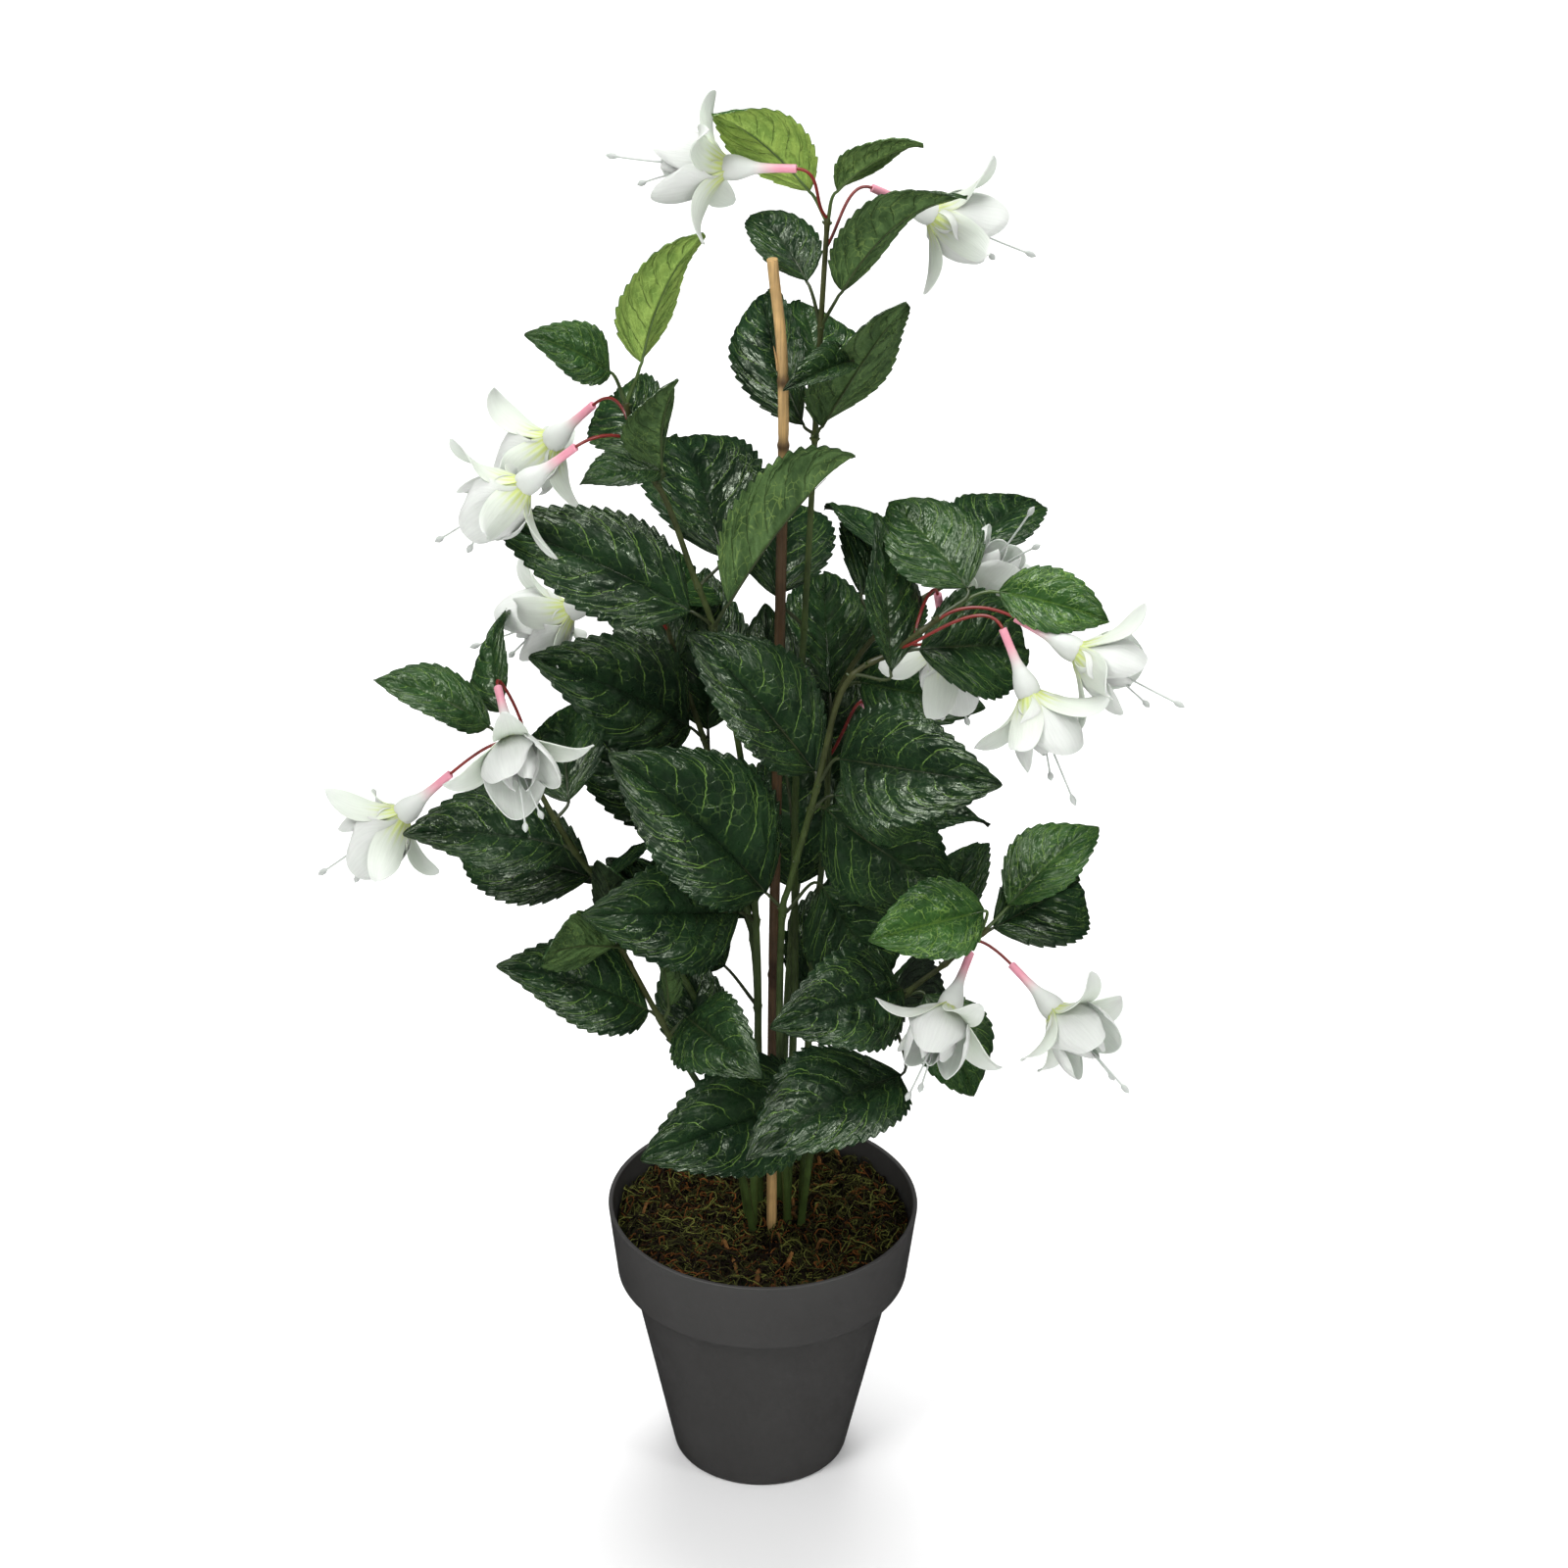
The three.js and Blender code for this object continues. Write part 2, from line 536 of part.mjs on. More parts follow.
// The thin red stalk from a stem's side to the top of a bloom's tube.
function stalkSolid({ stem, height, top, heading, rise }) {
  const root = pointAtHeight(curves[stem], height);
  const upStem = pointAtHeight(curves[stem], height + 4).sub(root).normalize();
  const forward = direction(heading, rise);
  const end = along(vector(top), [forward, -2.2 * GAP]);
  const reach = end.clone().sub(root);
  const leave = along(reach, [upStem, -reach.dot(upStem)]).normalize();
  const start = along(root, [leave, stemRadius(curves[stem], height) + STALK_RADIUS]);
  const span = end.distanceTo(start);
  const bow = new THREE.CubicBezierCurve3(start, along(start, [leave, 0.25 * span], [UP, 0.25 * span]),
    along(end, [forward, -0.4 * span]), end);
  const points = bow.getPoints(STALK_SPANS);
  return tube(points, points.map(() => STALK_RADIUS), STALK_SIDES);
}

// ---- pot, filler, moss and cane -----------------------------------------------------------------

const turned = (profile, sides) => solidOf(new THREE.LatheGeometry(
  profile.map(([radius, height]) => new THREE.Vector2(radius, height)), sides).rotateX(Math.PI / 2));

// the radius of the pot's inner wall at a height
function innerRadius(height) {
  if (height > COLLAR_FOOT_HEIGHT) {
    const share = (height - COLLAR_FOOT_HEIGHT) / (POT_HEIGHT - COLLAR_FOOT_HEIGHT);
    return THREE.MathUtils.lerp(COLLAR_FOOT_RADIUS, POT_RIM_RADIUS, share) - POT_WALL;
  }
  return THREE.MathUtils.lerp(POT_BASE_RADIUS, POT_BODY_RADIUS, height / COLLAR_FOOT_HEIGHT) - POT_WALL;
}

function potSolid() {
  const ledge = COLLAR_FOOT_HEIGHT - POT_WALL;
  return turned([
    [0, 0], [POT_BASE_RADIUS - 3, 0], [POT_BASE_RADIUS - 0.8, 0.9], [POT_BASE_RADIUS + 0.2, 3.4],
    [POT_BODY_RADIUS, COLLAR_FOOT_HEIGHT], [COLLAR_FOOT_RADIUS - 0.8, COLLAR_FOOT_HEIGHT + 0.3],
    [COLLAR_FOOT_RADIUS, COLLAR_FOOT_HEIGHT + 1.4], [POT_RIM_RADIUS, POT_HEIGHT - 1.2],
    [POT_RIM_RADIUS - 0.7, POT_HEIGHT], [POT_RIM_RADIUS - POT_WALL + 0.5, POT_HEIGHT],
    [POT_RIM_RADIUS - POT_WALL, POT_HEIGHT - 0.8],
    [innerRadius(COLLAR_FOOT_HEIGHT + 3), COLLAR_FOOT_HEIGHT + 3], [innerRadius(ledge), ledge],
    [innerRadius(POT_WALL), POT_WALL], [0, POT_WALL],
  ], POT_SIDES);
}

function fillerSolid() {
  const foot = POT_WALL + GAP;
  const ledge = COLLAR_FOOT_HEIGHT - POT_WALL;
  const shelf = COLLAR_FOOT_HEIGHT + 3 + GAP;
  const slack = 4 * GAP; // the pot's flat facets come in by about 0.3 mm
  return turned([
    [0, foot], [innerRadius(foot) - slack, foot], [innerRadius(ledge) - slack, ledge],
    [innerRadius(shelf) - slack, shelf], [innerRadius(FILLER_TOP) - slack, FILLER_TOP], [0, FILLER_TOP],
  ], FILLER_SIDES);
}

// The mat of moss: a disc whose top is raised and sunk by a seeded draw.
function mossSolid() {
  THREE.MathUtils.seededRandom(MOSS_SEED);
  const foot = FILLER_TOP + GAP;
  const rim = innerRadius(MOSS_TOP) - 5 * GAP;
  const rimBelow = innerRadius(FILLER_TOP) - 5 * GAP;
  const points = [new THREE.Vector3(0, 0, MOSS_TOP)];
  for (let ring = 1; ring <= MOSS_RINGS; ring++) {
    for (let spoke = 0; spoke < MOSS_SPOKES; spoke++) {
      const angle = 2 * Math.PI * (spoke + 0.5 * (ring % 2)) / MOSS_SPOKES;
      const radius = rim * ring / MOSS_RINGS;
      const bump = MOSS_BUMP * (2 * THREE.MathUtils.seededRandom() - 1);
      points.push(new THREE.Vector3(radius * Math.cos(angle), radius * Math.sin(angle), MOSS_TOP + bump));
    }
  }
  const ringPoint = (ring, spoke) => 1 + (ring - 1) * MOSS_SPOKES + (spoke + MOSS_SPOKES) % MOSS_SPOKES;
  const faces = [];
  for (let spoke = 0; spoke < MOSS_SPOKES; spoke++) {
    faces.push([0, ringPoint(1, spoke), ringPoint(1, spoke + 1)]);
    for (let ring = 2; ring <= MOSS_RINGS; ring++) {
      const shift = ring % 2;
      const [a, b] = [ringPoint(ring - 1, spoke), ringPoint(ring - 1, spoke + 1)];
      const [c, d] = [ringPoint(ring, spoke - shift), ringPoint(ring, spoke - shift + 1)];
      const e = ringPoint(ring, spoke - shift + 2);
      if (shift) faces.push([a, c, d], [a, d, b]);
      else faces.push([a, d, b], [b, d, e]);
    }
  }
  const outer = (spoke) => ringPoint(MOSS_RINGS, spoke);
  const below = points.length;
  for (let spoke = 0; spoke < MOSS_SPOKES; spoke++) {
    const edge = points[outer(spoke)];
    points.push(new THREE.Vector3(edge.x * rimBelow / rim, edge.y * rimBelow / rim, foot));
  }
  const hub = points.push(new THREE.Vector3(0, 0, foot)) - 1;
  for (let spoke = 0; spoke < MOSS_SPOKES; spoke++) {
    const next = (spoke + 1) % MOSS_SPOKES;
    faces.push([outer(spoke), below + spoke, below + next], [outer(spoke), below + next, outer(next)]);
    faces.push([hub, below + next, below + spoke]);
  }
  return closedSkin(points, faces);
}

const caneCurve = new THREE.CatmullRomCurve3(CANE_ROUTE.map(vector), false, 'catmullrom', 0.5);

function caneSolid() {
  const stations = [...CANE_STATIONS];
  for (const height of CANE_NODES) stations.push(height - 2.5, height, height + 2.5);
  stations.sort((a, b) => a - b);
  const radii = stations.map((height) => CANE_RADIUS + (CANE_NODES.includes(height) ? 0.5 : 0));
  return tube(stations.map((height) => pointAtHeight(caneCurve, height)), radii, CANE_SIDES);
}

// The plain holes that the stems and the cane stand in, a little wider and deeper than what they hold.
function holes() {
  const mouth = MOSS_TOP + 2 * MOSS_BUMP;
  const bore = (curve, radius) => {
    const stations = [ROOT_HEIGHT, mouth].map((height) => pointAtHeight(curve, height));
    stations[0].z -= GAP;
    const corner = (radius + 3 * GAP) / Math.cos(Math.PI / BORE_SIDES);
    return tube(stations, [corner, corner], BORE_SIDES);
  };
  const stems = Object.values(curves).map((curve) => bore(curve, STEM_FOOT_RADIUS));
  return fused([bore(caneCurve, CANE_RADIUS), ...stems]);
}

// ---- the plant ----------------------------------------------------------------------------------

const plant = new THREE.Group();

function add(name, solid, color, roughness) {
  const mesh = new THREE.Mesh(geometryOf(solid), finish(color, roughness));
  mesh.name = name;
  plant.add(mesh);
}

const bores = holes();
add('pot', potSolid(), POT_GREY, 0.6);
add('filler', fillerSolid().subtract(bores), FILLER_GREY, 0.9);
add('moss', mossSolid().subtract(bores), MOSS_BROWN, 1);
add('cane', caneSolid(), CANE_TAN, 0.5);
Object.keys(STEMS).forEach((name, i) =>
  add(`stem_${name}`, leafyStem(name), LEAF_GREENS[i % LEAF_GREENS.length], 0.4));
for (const [name, bloom] of Object.entries(BLOOMS)) {
  add(`bloom_${name}`, bloomSolid(bloom), PETAL_WHITE, 0.6);
  add(`stalk_${name}`, stalkSolid(bloom), STALK_RED, 0.5);
}

export default plant;
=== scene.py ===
"""A potted white fuchsia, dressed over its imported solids: toothed leaves with veins and folds, blooms of
soft petals on red wire, a bamboo cane, a mat of loose moss and a smooth dark pot.

The tables are in millimetres, as in the part's own source; the camera and the lights are in metres.
Headings are degrees round +Z from +X; a rise is degrees above level.
"""

from math import cos, hypot, pi, radians, sin, sqrt

import bpy
import numpy as np
from mathutils import Matrix, Vector, noise


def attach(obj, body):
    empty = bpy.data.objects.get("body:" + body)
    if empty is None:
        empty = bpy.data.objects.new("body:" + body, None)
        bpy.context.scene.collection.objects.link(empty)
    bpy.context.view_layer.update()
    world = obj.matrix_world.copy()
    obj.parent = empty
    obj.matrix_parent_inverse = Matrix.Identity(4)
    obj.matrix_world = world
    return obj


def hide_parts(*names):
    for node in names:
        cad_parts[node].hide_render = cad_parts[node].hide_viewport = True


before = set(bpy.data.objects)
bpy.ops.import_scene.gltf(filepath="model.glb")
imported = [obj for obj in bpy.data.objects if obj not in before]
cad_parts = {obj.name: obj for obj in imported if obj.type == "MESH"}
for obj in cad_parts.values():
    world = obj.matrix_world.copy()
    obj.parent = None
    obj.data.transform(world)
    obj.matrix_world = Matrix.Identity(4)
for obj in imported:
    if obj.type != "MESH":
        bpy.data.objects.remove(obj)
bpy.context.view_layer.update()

# ---- vectors and routes ----

UP = np.array([0.0, 0.0, 1.0])


def unit(vector):
    return vector / np.linalg.norm(vector, axis=-1, keepdims=True)


def direction(heading, rise):
    h, r = radians(heading), radians(rise)
    return np.array([cos(h) * cos(r), sin(h) * cos(r), sin(r)])


def between(start, end, share):
    return start + (end - start) * share


def ramp(value, low, high):
    """0 up to low, 1 from high on and a soft rise between them."""
    share = np.clip((value - low) / (high - low), 0, 1)
    return share * share * (3 - 2 * share)


def swell(value, middle, width):
    """1 at the middle, falling softly to 0 on either side of it."""
    return np.exp(-(((value - middle) / width) ** 2))


def column(values):
    """A row of numbers, ready to scale a list of vectors."""
    return np.asarray(values, float)[..., None]


class Route:
    """A smooth curve through points, evenly paced from one to the next."""

    def __init__(self, points):
        self.points = np.array(points, float)

    def at(self, share):
        points = self.points
        last = len(points) - 1
        place = min(max(share, 0), 1) * last
        i = min(int(place), last - 1)
        t = place - i
        before = points[i - 1] if i else 2 * points[0] - points[1]
        after = points[i + 2] if i + 2 <= last else 2 * points[last] - points[last - 1]
        a, b = points[i], points[i + 1]
        leave, arrive = (b - before) / 2, (after - a) / 2
        square = t * t * (3 * (b - a) - 2 * leave - arrive)
        return a + t * leave + square + t ** 3 * (2 * (a - b) + leave + arrive)

    def share_at_height(self, height):
        """How far along the route it reaches the height, found by halving."""
        low, high = 0.0, 1.0
        for _ in range(30):
            middle = (low + high) / 2
            if self.at(middle)[2] < height:
                low = middle
            else:
                high = middle
        return low

    def at_height(self, height):
        return self.at(self.share_at_height(height))


def bezier(a, b, c, d, count):
    t = column(np.linspace(0, 1, count))
    return (1 - t) ** 3 * a + 3 * t * (1 - t) ** 2 * b + 3 * t * t * (1 - t) * c + t ** 3 * d


# ---- the part's own dimensions, in millimetres ----

MM = 0.001
POT_HEIGHT = 155
POT_RIM_RADIUS = 82.5
COLLAR_FOOT_RADIUS = 77.5
COLLAR_FOOT_HEIGHT = 113
POT_BODY_RADIUS = 70.6
POT_BASE_RADIUS = 46.7
POT_WALL = 2.5
POT_SIDES = 128
GAP = 0.3  # between the moss and the filler below it

FILLER_TOP = 126
ROOT_HEIGHT = 104
MOSS_TOP = 142

CANE_RADIUS = 2.9
STEM_FOOT_RADIUS = 2.3
STEM_TOP_RADIUS = 1.3

BLADE_THICKNESS = 0.5
LEAF_STALK_RADIUS = 0.95

SEPAL_LENGTH = 39
SEPAL_THICKNESS = 0.55
PETAL_LENGTH = 34
PETAL_THICKNESS = 0.5
THREAD_RADIUS = 0.5
WIRE_RADIUS = 0.8

CANE_ROUTE = [[5, -6, 104], [4, -4, 295], [5, 0, 500], [5, 2, 628], [-1, 2, 693]]
CANE_NODES = [298, 596, 630]

STEMS = {
    "crown": [[12, 6, 104], [13, 7, 150], [15, 10, 280], [14, 12, 400], [18, 16, 512],
              [21, 14, 600], [23, 5, 665], [25, 0, 716]],
    "left_high": [[-4, -4, 104], [-5, -5, 150], [-4, -4, 294], [-12, -8, 413], [-27, -15, 500],
                  [-38, -19, 536], [-50, -22, 574], [-64, -27, 606], [-70, -30, 632]],
    "front": [[13, -3, 104], [13, -4, 150], [8, -20, 256], [8, -28, 344], [12, -32, 370],
              [24, -42, 428], [37, -48, 490], [62, -52, 513], [82, -55, 532]],
    "left_mid": [[-8, 5, 104], [-9, 4, 150], [-26, -2, 250], [-44, -8, 300], [-71, -20, 344],
                 [-97, -30, 385], [-121, -36, 437], [-134, -36, 456]],
    "left_low": [[-4, -12, 104], [-6, -13, 150], [-19, -30, 225], [-34, -42, 255], [-54, -50, 300],
                 [-73, -56, 345]],
    "right_low": [[20, -4, 104], [21, -5, 150], [30, -22, 235], [45, -28, 274], [74, -40, 312],
                  [91, -44, 330], [112, -48, 354]],
    "right_high": [[20, 5, 104], [21, 6, 150], [24, 24, 280], [30, 40, 360], [34, 50, 429],
                   [59, 54, 472], [98, 54, 502]],
    "left_back": [[-1, 12, 104], [-2, 13, 150], [-5, 24, 280], [-14, 36, 331], [-28, 46, 389],
                  [-43, 50, 437], [-55, 52, 478]],
    "back": [[9, 15, 104], [9, 17, 150], [12, 42, 274], [18, 62, 328], [28, 80, 374],
             [34, 90, 405]],
}

STALK_RISE = 60  # a stalk leaves its stem halfway between this rise and the blade's own


class Leaf:
    """A leaf: the height of its root on the stem, the length of its own stalk, the heading, rise,
    length and roll of its blade, then the heading and the rise at which the stalk leaves the stem."""

    wide = 0.3  # half its width; this and the next three are shares of its length
    arch = 0.07
    hook = 0.06  # how far its tip drops
    wave = 0.02
    fold = 16
    tones = None  # how young it is, how pale underneath (0 gives an underside painted in shade, near black) and how red its midrib, each from 0 to 1

    def __init__(self, height, stalk, heading, rise, length, roll, leave=None, lift=None, **shape):
        self.height, self.stalk, self.heading, self.rise = height, stalk, heading, rise
        self.length, self.roll = length, roll
        self.leave = heading if leave is None else leave
        self.lift = (rise + STALK_RISE) / 2 if lift is None else lift
        vars(self).update(shape)

    def place(self, route, droop):
        """Finds its root, the foot of its blade and the blade's directions; its margins hang by droop."""
        self.root = route.at_height(self.height)
        self.foot = self.root + direction(self.leave, self.lift) * self.stalk
        self.chord = direction(self.heading, self.rise)
        level = np.cross(UP, direction(self.heading, 0))
        flat = np.cross(self.chord, level)
        turn = radians(self.roll)
        self.side = level * cos(turn) + flat * sin(turn)
        self.normal = flat * cos(turn) - level * sin(turn)
        self.droop = droop

    def points(self, u, v, reach, raised):
        """Points and upward directions of the blade at u from foot to tip, v from right to left."""
        bend = self.arch * 4 * u * (1 - u) - self.hook * u ** 4
        slope = self.arch * 4 * (1 - 2 * u) - self.hook * 4 * u ** 3
        tangent = unit(self.chord + self.normal * column(slope))
        up = np.cross(tangent, self.side)
        fold = radians(self.fold)
        ripple = self.wave * self.length * np.sin(9 * u + self.heading + v) * v * v
        climb = reach * sin(fold) * (1.5 * np.abs(v) - (0.5 + self.droop) * v * v)
        points = (self.foot + self.chord * column(self.length * u)
                  + self.normal * column(self.length * bend)
                  + self.side * column(v * reach * cos(fold))
                  + up * column(climb + ripple + raised))
        return points, up


LEAVES = {
    "crown": [
        Leaf(713, 17, 196, 44, 66, 59, 160, 58, tones=(1, 1, 0)),
        Leaf(713, 17, 340, 37, 52, -39, 350, 75, wide=0.26, tones=(0.8, 0.6, 1)),
        Leaf(657, 25, 342, 46, 84, -32, 322, 61, wide=0.28, arch=0.1, tones=(0.2, 0.45, 0)),
        Leaf(657, 23, 121, 18, 57, -5, 147, 69, arch=0.09, tones=(0.05, 0, 0)),
        Leaf(596, 9, 103, 22, 98, -42, 200, 45, wide=0.26, fold=42, arch=0.09),
        Leaf(606, 11, 99, 23, 70, 20, 69, 28, wide=0.36, fold=20, arch=0.02),
        Leaf(626, 31, 225, -1, 44, -39, 309, 38, wide=0.28, fold=45, tones=(0.15, 0.1, 0)),
        Leaf(594, 15, 340, 62, 84, -29, 288, 48, fold=6, arch=0, tones=(0.2, 0.35, 0)),
        Leaf(490, 22, 92, 8, 96, 10, 170, 50),
    ],
    "left_high": [
        Leaf(631, 22, 20, 66, 70, -63, 20, 70, tones=(0.8, 0.85, 0)),
        Leaf(631, 20, 207, 33, 50, -55, 205, 66, tones=(0.45, 0.3, 0)),
        Leaf(596, 9, 111, 1, 72, -39, 45, 44, fold=11, arch=0.1),
        Leaf(590, 9, 332, 82, 50, -10, 310, 46, wide=0.39, fold=26, tones=(0.2, 0.35, 0)),
        Leaf(586, 16, 211, 7, 44, -8, 281, 48, wide=0.34, fold=6, tones=(0.1, 0.1, 0)),
        Leaf(506, 22, 176, 25, 107, -47, 229, 41, wide=0.26, fold=20),
        Leaf(528, 22, 104, 13, 104, -5, 54, 28),
        Leaf(504, 26, 341, 57, 113, -51, 300, 54, wide=0.23, fold=56, arch=0.04, tones=(0, 0.5, 0)),
        Leaf(330, 16, 222, 20, 104, -66),
    ],
    "front": [
        Leaf(497, 24, 100, 64, 77, 51, 325, 21, wide=0.33, fold=9, arch=0),
        Leaf(532, 20, 133, 26, 62, -19, 36, 35, wide=0.4, fold=12, tones=(0.3, 0.2, 0)),
        Leaf(524, 42, 352, -11, 55, 47, 8, 27, wide=0.32, fold=24, tones=(0.85, 0.3, 0)),
        Leaf(505, 24, 38, -16, 76, 55, 15, 10, wide=0.38),
        Leaf(432, 24, 319, 13, 100, 63, lift=55),
        Leaf(428, 10, 173, 50, 97, -37, 100, 60, fold=20, arch=0.04),
        Leaf(352, 14, 180, 46, 110, -46, 194, 51, wide=0.39, fold=31),
        Leaf(416, 14, 28, -16, 66, 62, wide=0.38),
        Leaf(348, 31, 9, -60, 71, 85, 49, 6, wide=0.37, fold=10, arch=0.09, tones=(0.05, 0, 0)),
        Leaf(384, 30, 3, -37, 81, 86, 50, 42, wide=0.37, fold=4, arch=0.09),
        Leaf(218, 34, 214, -1, 104, -48, 315, 45),
    ],
    "left_mid": [
        Leaf(452, 10, 185, 29, 62, -21),
        Leaf(454, 12, 92, 27, 64, -62),
        Leaf(384, 8, 200, 16, 84, -34),
        Leaf(404, 12, 92, 11, 80, -23, leave=50),
        Leaf(356, 12, 92, -32, 80, -20),
        Leaf(344, 26, 146, -3, 90, -48),
    ],
    "left_low": [
        Leaf(343, 6, 179, 79, 48, 62),
        Leaf(343, 6, 229, 19, 58, 79, tones=(0.3, 0.45, 0)),
        Leaf(299, 8, 200, 29, 88, -40),
        Leaf(288, 16, 298, 8, 76, 42, 340, 50),
        Leaf(296, 10, 150, 74, 42, 62, leave=20, tones=(0.3, 0.4, 0)),
    ],
    "right_low": [
        Leaf(350, 17, 210, 2, 65, -47, 273, 73, wide=0.36, fold=27, arch=0.01, tones=(0.8, 0.3, 0)),
        Leaf(352, 18, 40, 24, 66, 14, lift=30, tones=(0.6, 0.3, 0)),
        Leaf(346, 12, 55, -8, 88, 47, leave=20),
        Leaf(330, 14, 79, 11, 80, -29),
        Leaf(306, 14, 329, -58, 60, 30, 340, 20, wide=0.36),
        Leaf(310, 8, 227, 12, 92, -53),
        Leaf(286, 10, 62, -24, 84, -58),
        Leaf(300, 36, 224, 0, 106, -19, 290, -62),
    ],
    "right_high": [
        Leaf(470, 22, 80, 1, 84, 27, 170, 60),
        Leaf(480, 26, 120, 6, 66, 20, 150, 75),
        Leaf(498, 12, 60, 4, 80, 4),
        Leaf(436, 14, 334, 2, 68, 60),
    ],
    "left_back": [
        Leaf(408, 12, 207, 35, 104, -60),
        Leaf(440, 12, 109, 12, 80, -23),
        Leaf(475, 10, 77, -10, 66, 35),
    ],
    "back": [
        Leaf(400, 10, 60, 20, 90, 0),
        Leaf(392, 22, 94, 32, 76, -5, 90, 82, wide=0.36, fold=31),
        Leaf(330, 12, 20, 0, 96, 0),
    ],
}

DEEP_LEAVES = {  # dark leaves inside the bush, which close the gaps behind the others; their undersides are painted in shade
    "left_back": [Leaf(400, 12, 93, 58, 84, -3), Leaf(352, 20, 170, 26, 84, -50),
                  Leaf(300, 12, 127, 48, 84, -32), Leaf(262, 28, 162, 39, 84, -47)],
    "back": [Leaf(300, 17, 88, 72, 90, -8), Leaf(352, 10, 71, 66, 80, 27), Leaf(250, 12, 44, 42, 84, 39)],
    "crown": [Leaf(372, 36, 109, 64, 84, -26)],
    "left_low": [Leaf(238, 22, 115, 47, 64, -22)],
}

# name: (stem, height on it, top of the tube, heading, rise, turn about that direction, spread of sepals)
BLOOMS = {
    "crown_left": ("crown", 723, [10, -13, 745], 169, -4, 16, 124),
    "crown_right": ("crown", 700, [46, 20, 723], 15, -28, 60, 80),
    "high_left_a": ("left_high", 619, [-87, 4, 615], 152, -46, 60, 96),
    "high_left_b": ("left_high", 611, [-93, -49, 617], 171, -41, 60, 95),
    "back_left": ("left_back", 470, [-72, 30, 506], 173, -31, 10, 90),
    "left_tip": ("left_mid", 450, [-157, -44, 436], 179, -44, 50, 85),
    "left_face": ("left_mid", 438, [-132, -54, 490], 285, -22, 72, 88),
    "right_up": ("right_high", 470, [80, 30, 476], 357, 54, 15, 80),
    "right_out": ("front", 531, [118, -62, 536], 346, -24, 50, 75),
    "right_down": ("front", 515, [112, -68, 533], 318, -58, 40, 80),
    "right_back": ("front", 521, [82, -22, 528], 60, -72, 45, 80),
    "low_front": ("right_low", 340, [103, -56, 344], 248, -28, 20, 95),
    "low_right": ("right_low", 346, [124, -52, 335], 315, -24, 60, 105),
    "back_right": ("right_high", 400, [48, 60, 424], 62, -40, 0, 85),
}

# ---- meshes ----


def add_object(name, data):
    made = bpy.data.objects.new(name, data)
    bpy.context.scene.collection.objects.link(made)
    return made


class Skin:
    """The points and faces of one piece, in millimetres. Each point has a form, three numbers that
    the materials draw by, and a tint; each face has the place of its material in the piece's list."""

    def __init__(self):
        self.points, self.forms, self.tints = [], [], []
        self.faces, self.materials = [], []
        self.count = 0

    def add(self, points, faces, form=(0, 0, 0), tint=(1, 1, 1), material=0):
        points = np.asarray(points, float).reshape(-1, 3)
        for store, values in ((self.forms, form), (self.tints, tint)):
            store.append(np.broadcast_to(np.reshape(values, (-1, 3)), points.shape))
        self.points.append(points)
        self.faces += [[corner + self.count for corner in face] for face in faces]
        self.materials += [material] * len(faces)
        self.count += len(points)

    def piece(self, name, materials, node=None, sharp=50):
        mesh = bpy.data.meshes.new(name)
        mesh.from_pydata(np.concatenate(self.points) * MM, [], self.faces)
        mesh.attributes.new("form", "FLOAT_VECTOR", "POINT").data.foreach_set(
            "vector", np.concatenate(self.forms).astype(np.float32).ravel())
        tints = np.concatenate([np.concatenate(self.tints), np.ones((self.count, 1))], axis=1)
        mesh.attributes.new("tint", "FLOAT_COLOR", "POINT").data.foreach_set(
            "color", tints.astype(np.float32).ravel())
        for material in materials:
            mesh.materials.append(material)
        mesh.polygons.foreach_set("material_index", self.materials)
        mesh.polygons.foreach_set("use_smooth", [True] * len(mesh.polygons))
        mesh.set_sharp_from_angle(angle=radians(sharp))
        mesh.update()
        made = add_object(name, mesh)
        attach(made, "root")
        if node:
            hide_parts(node)


def grid_faces(rows, columns, closed=False):
    """Quads between rows of points, each row joined round if closed."""
    faces = []
    for i in range(rows - 1):
        for j in range(columns if closed else columns - 1):
            k = (j + 1) % columns
            faces.append((i * columns + j, (i + 1) * columns + j, (i + 1) * columns + k, i * columns + k))
    return faces


def ring_faces(rings, sides):
    """The faces round a stack of rings, from the lowest up, with a flat face at either end."""
    faces = [face[::-1] for face in grid_faces(rings, sides, closed=True)]
    last = (rings - 1) * sides
    return faces + [tuple(range(sides))[::-1], tuple(range(last, last + sides))]


def form_along(lengths):
    """The form of a tube's points, of which the first number is the length along it."""
    return np.stack([lengths, np.zeros(len(lengths)), np.zeros(len(lengths))], axis=1)


def sheet_grid(stations, across):
    """u from foot to tip at the stations, and v from -1 to 1 across, for every point of a sheet."""
    return np.meshgrid(stations, np.linspace(-1, 1, across), indexing="ij")


def tube(skin, points, radii, sides, **look):
    """A round tube through points, closed flat at both ends, its rings turned as little as can be."""
    points = np.asarray(points, float)
    tangents = unit(np.gradient(points, axis=0))
    side = np.array([1, 0.2, 0.1])
    angles = column(np.arange(sides) * 2 * pi / sides)
    rings = []
    for point, radius, tangent in zip(points, radii, tangents):
        side = unit(side - tangent * side.dot(tangent))
        across = np.cross(tangent, side)
        rings.append(point + radius * (side * np.cos(angles) + across * np.sin(angles)))
    for mark, values in look.items():
        if np.ndim(values) > 1:
            look[mark] = np.repeat(values, sides, axis=0)
    skin.add(np.array(rings), ring_faces(len(rings), sides), **look)


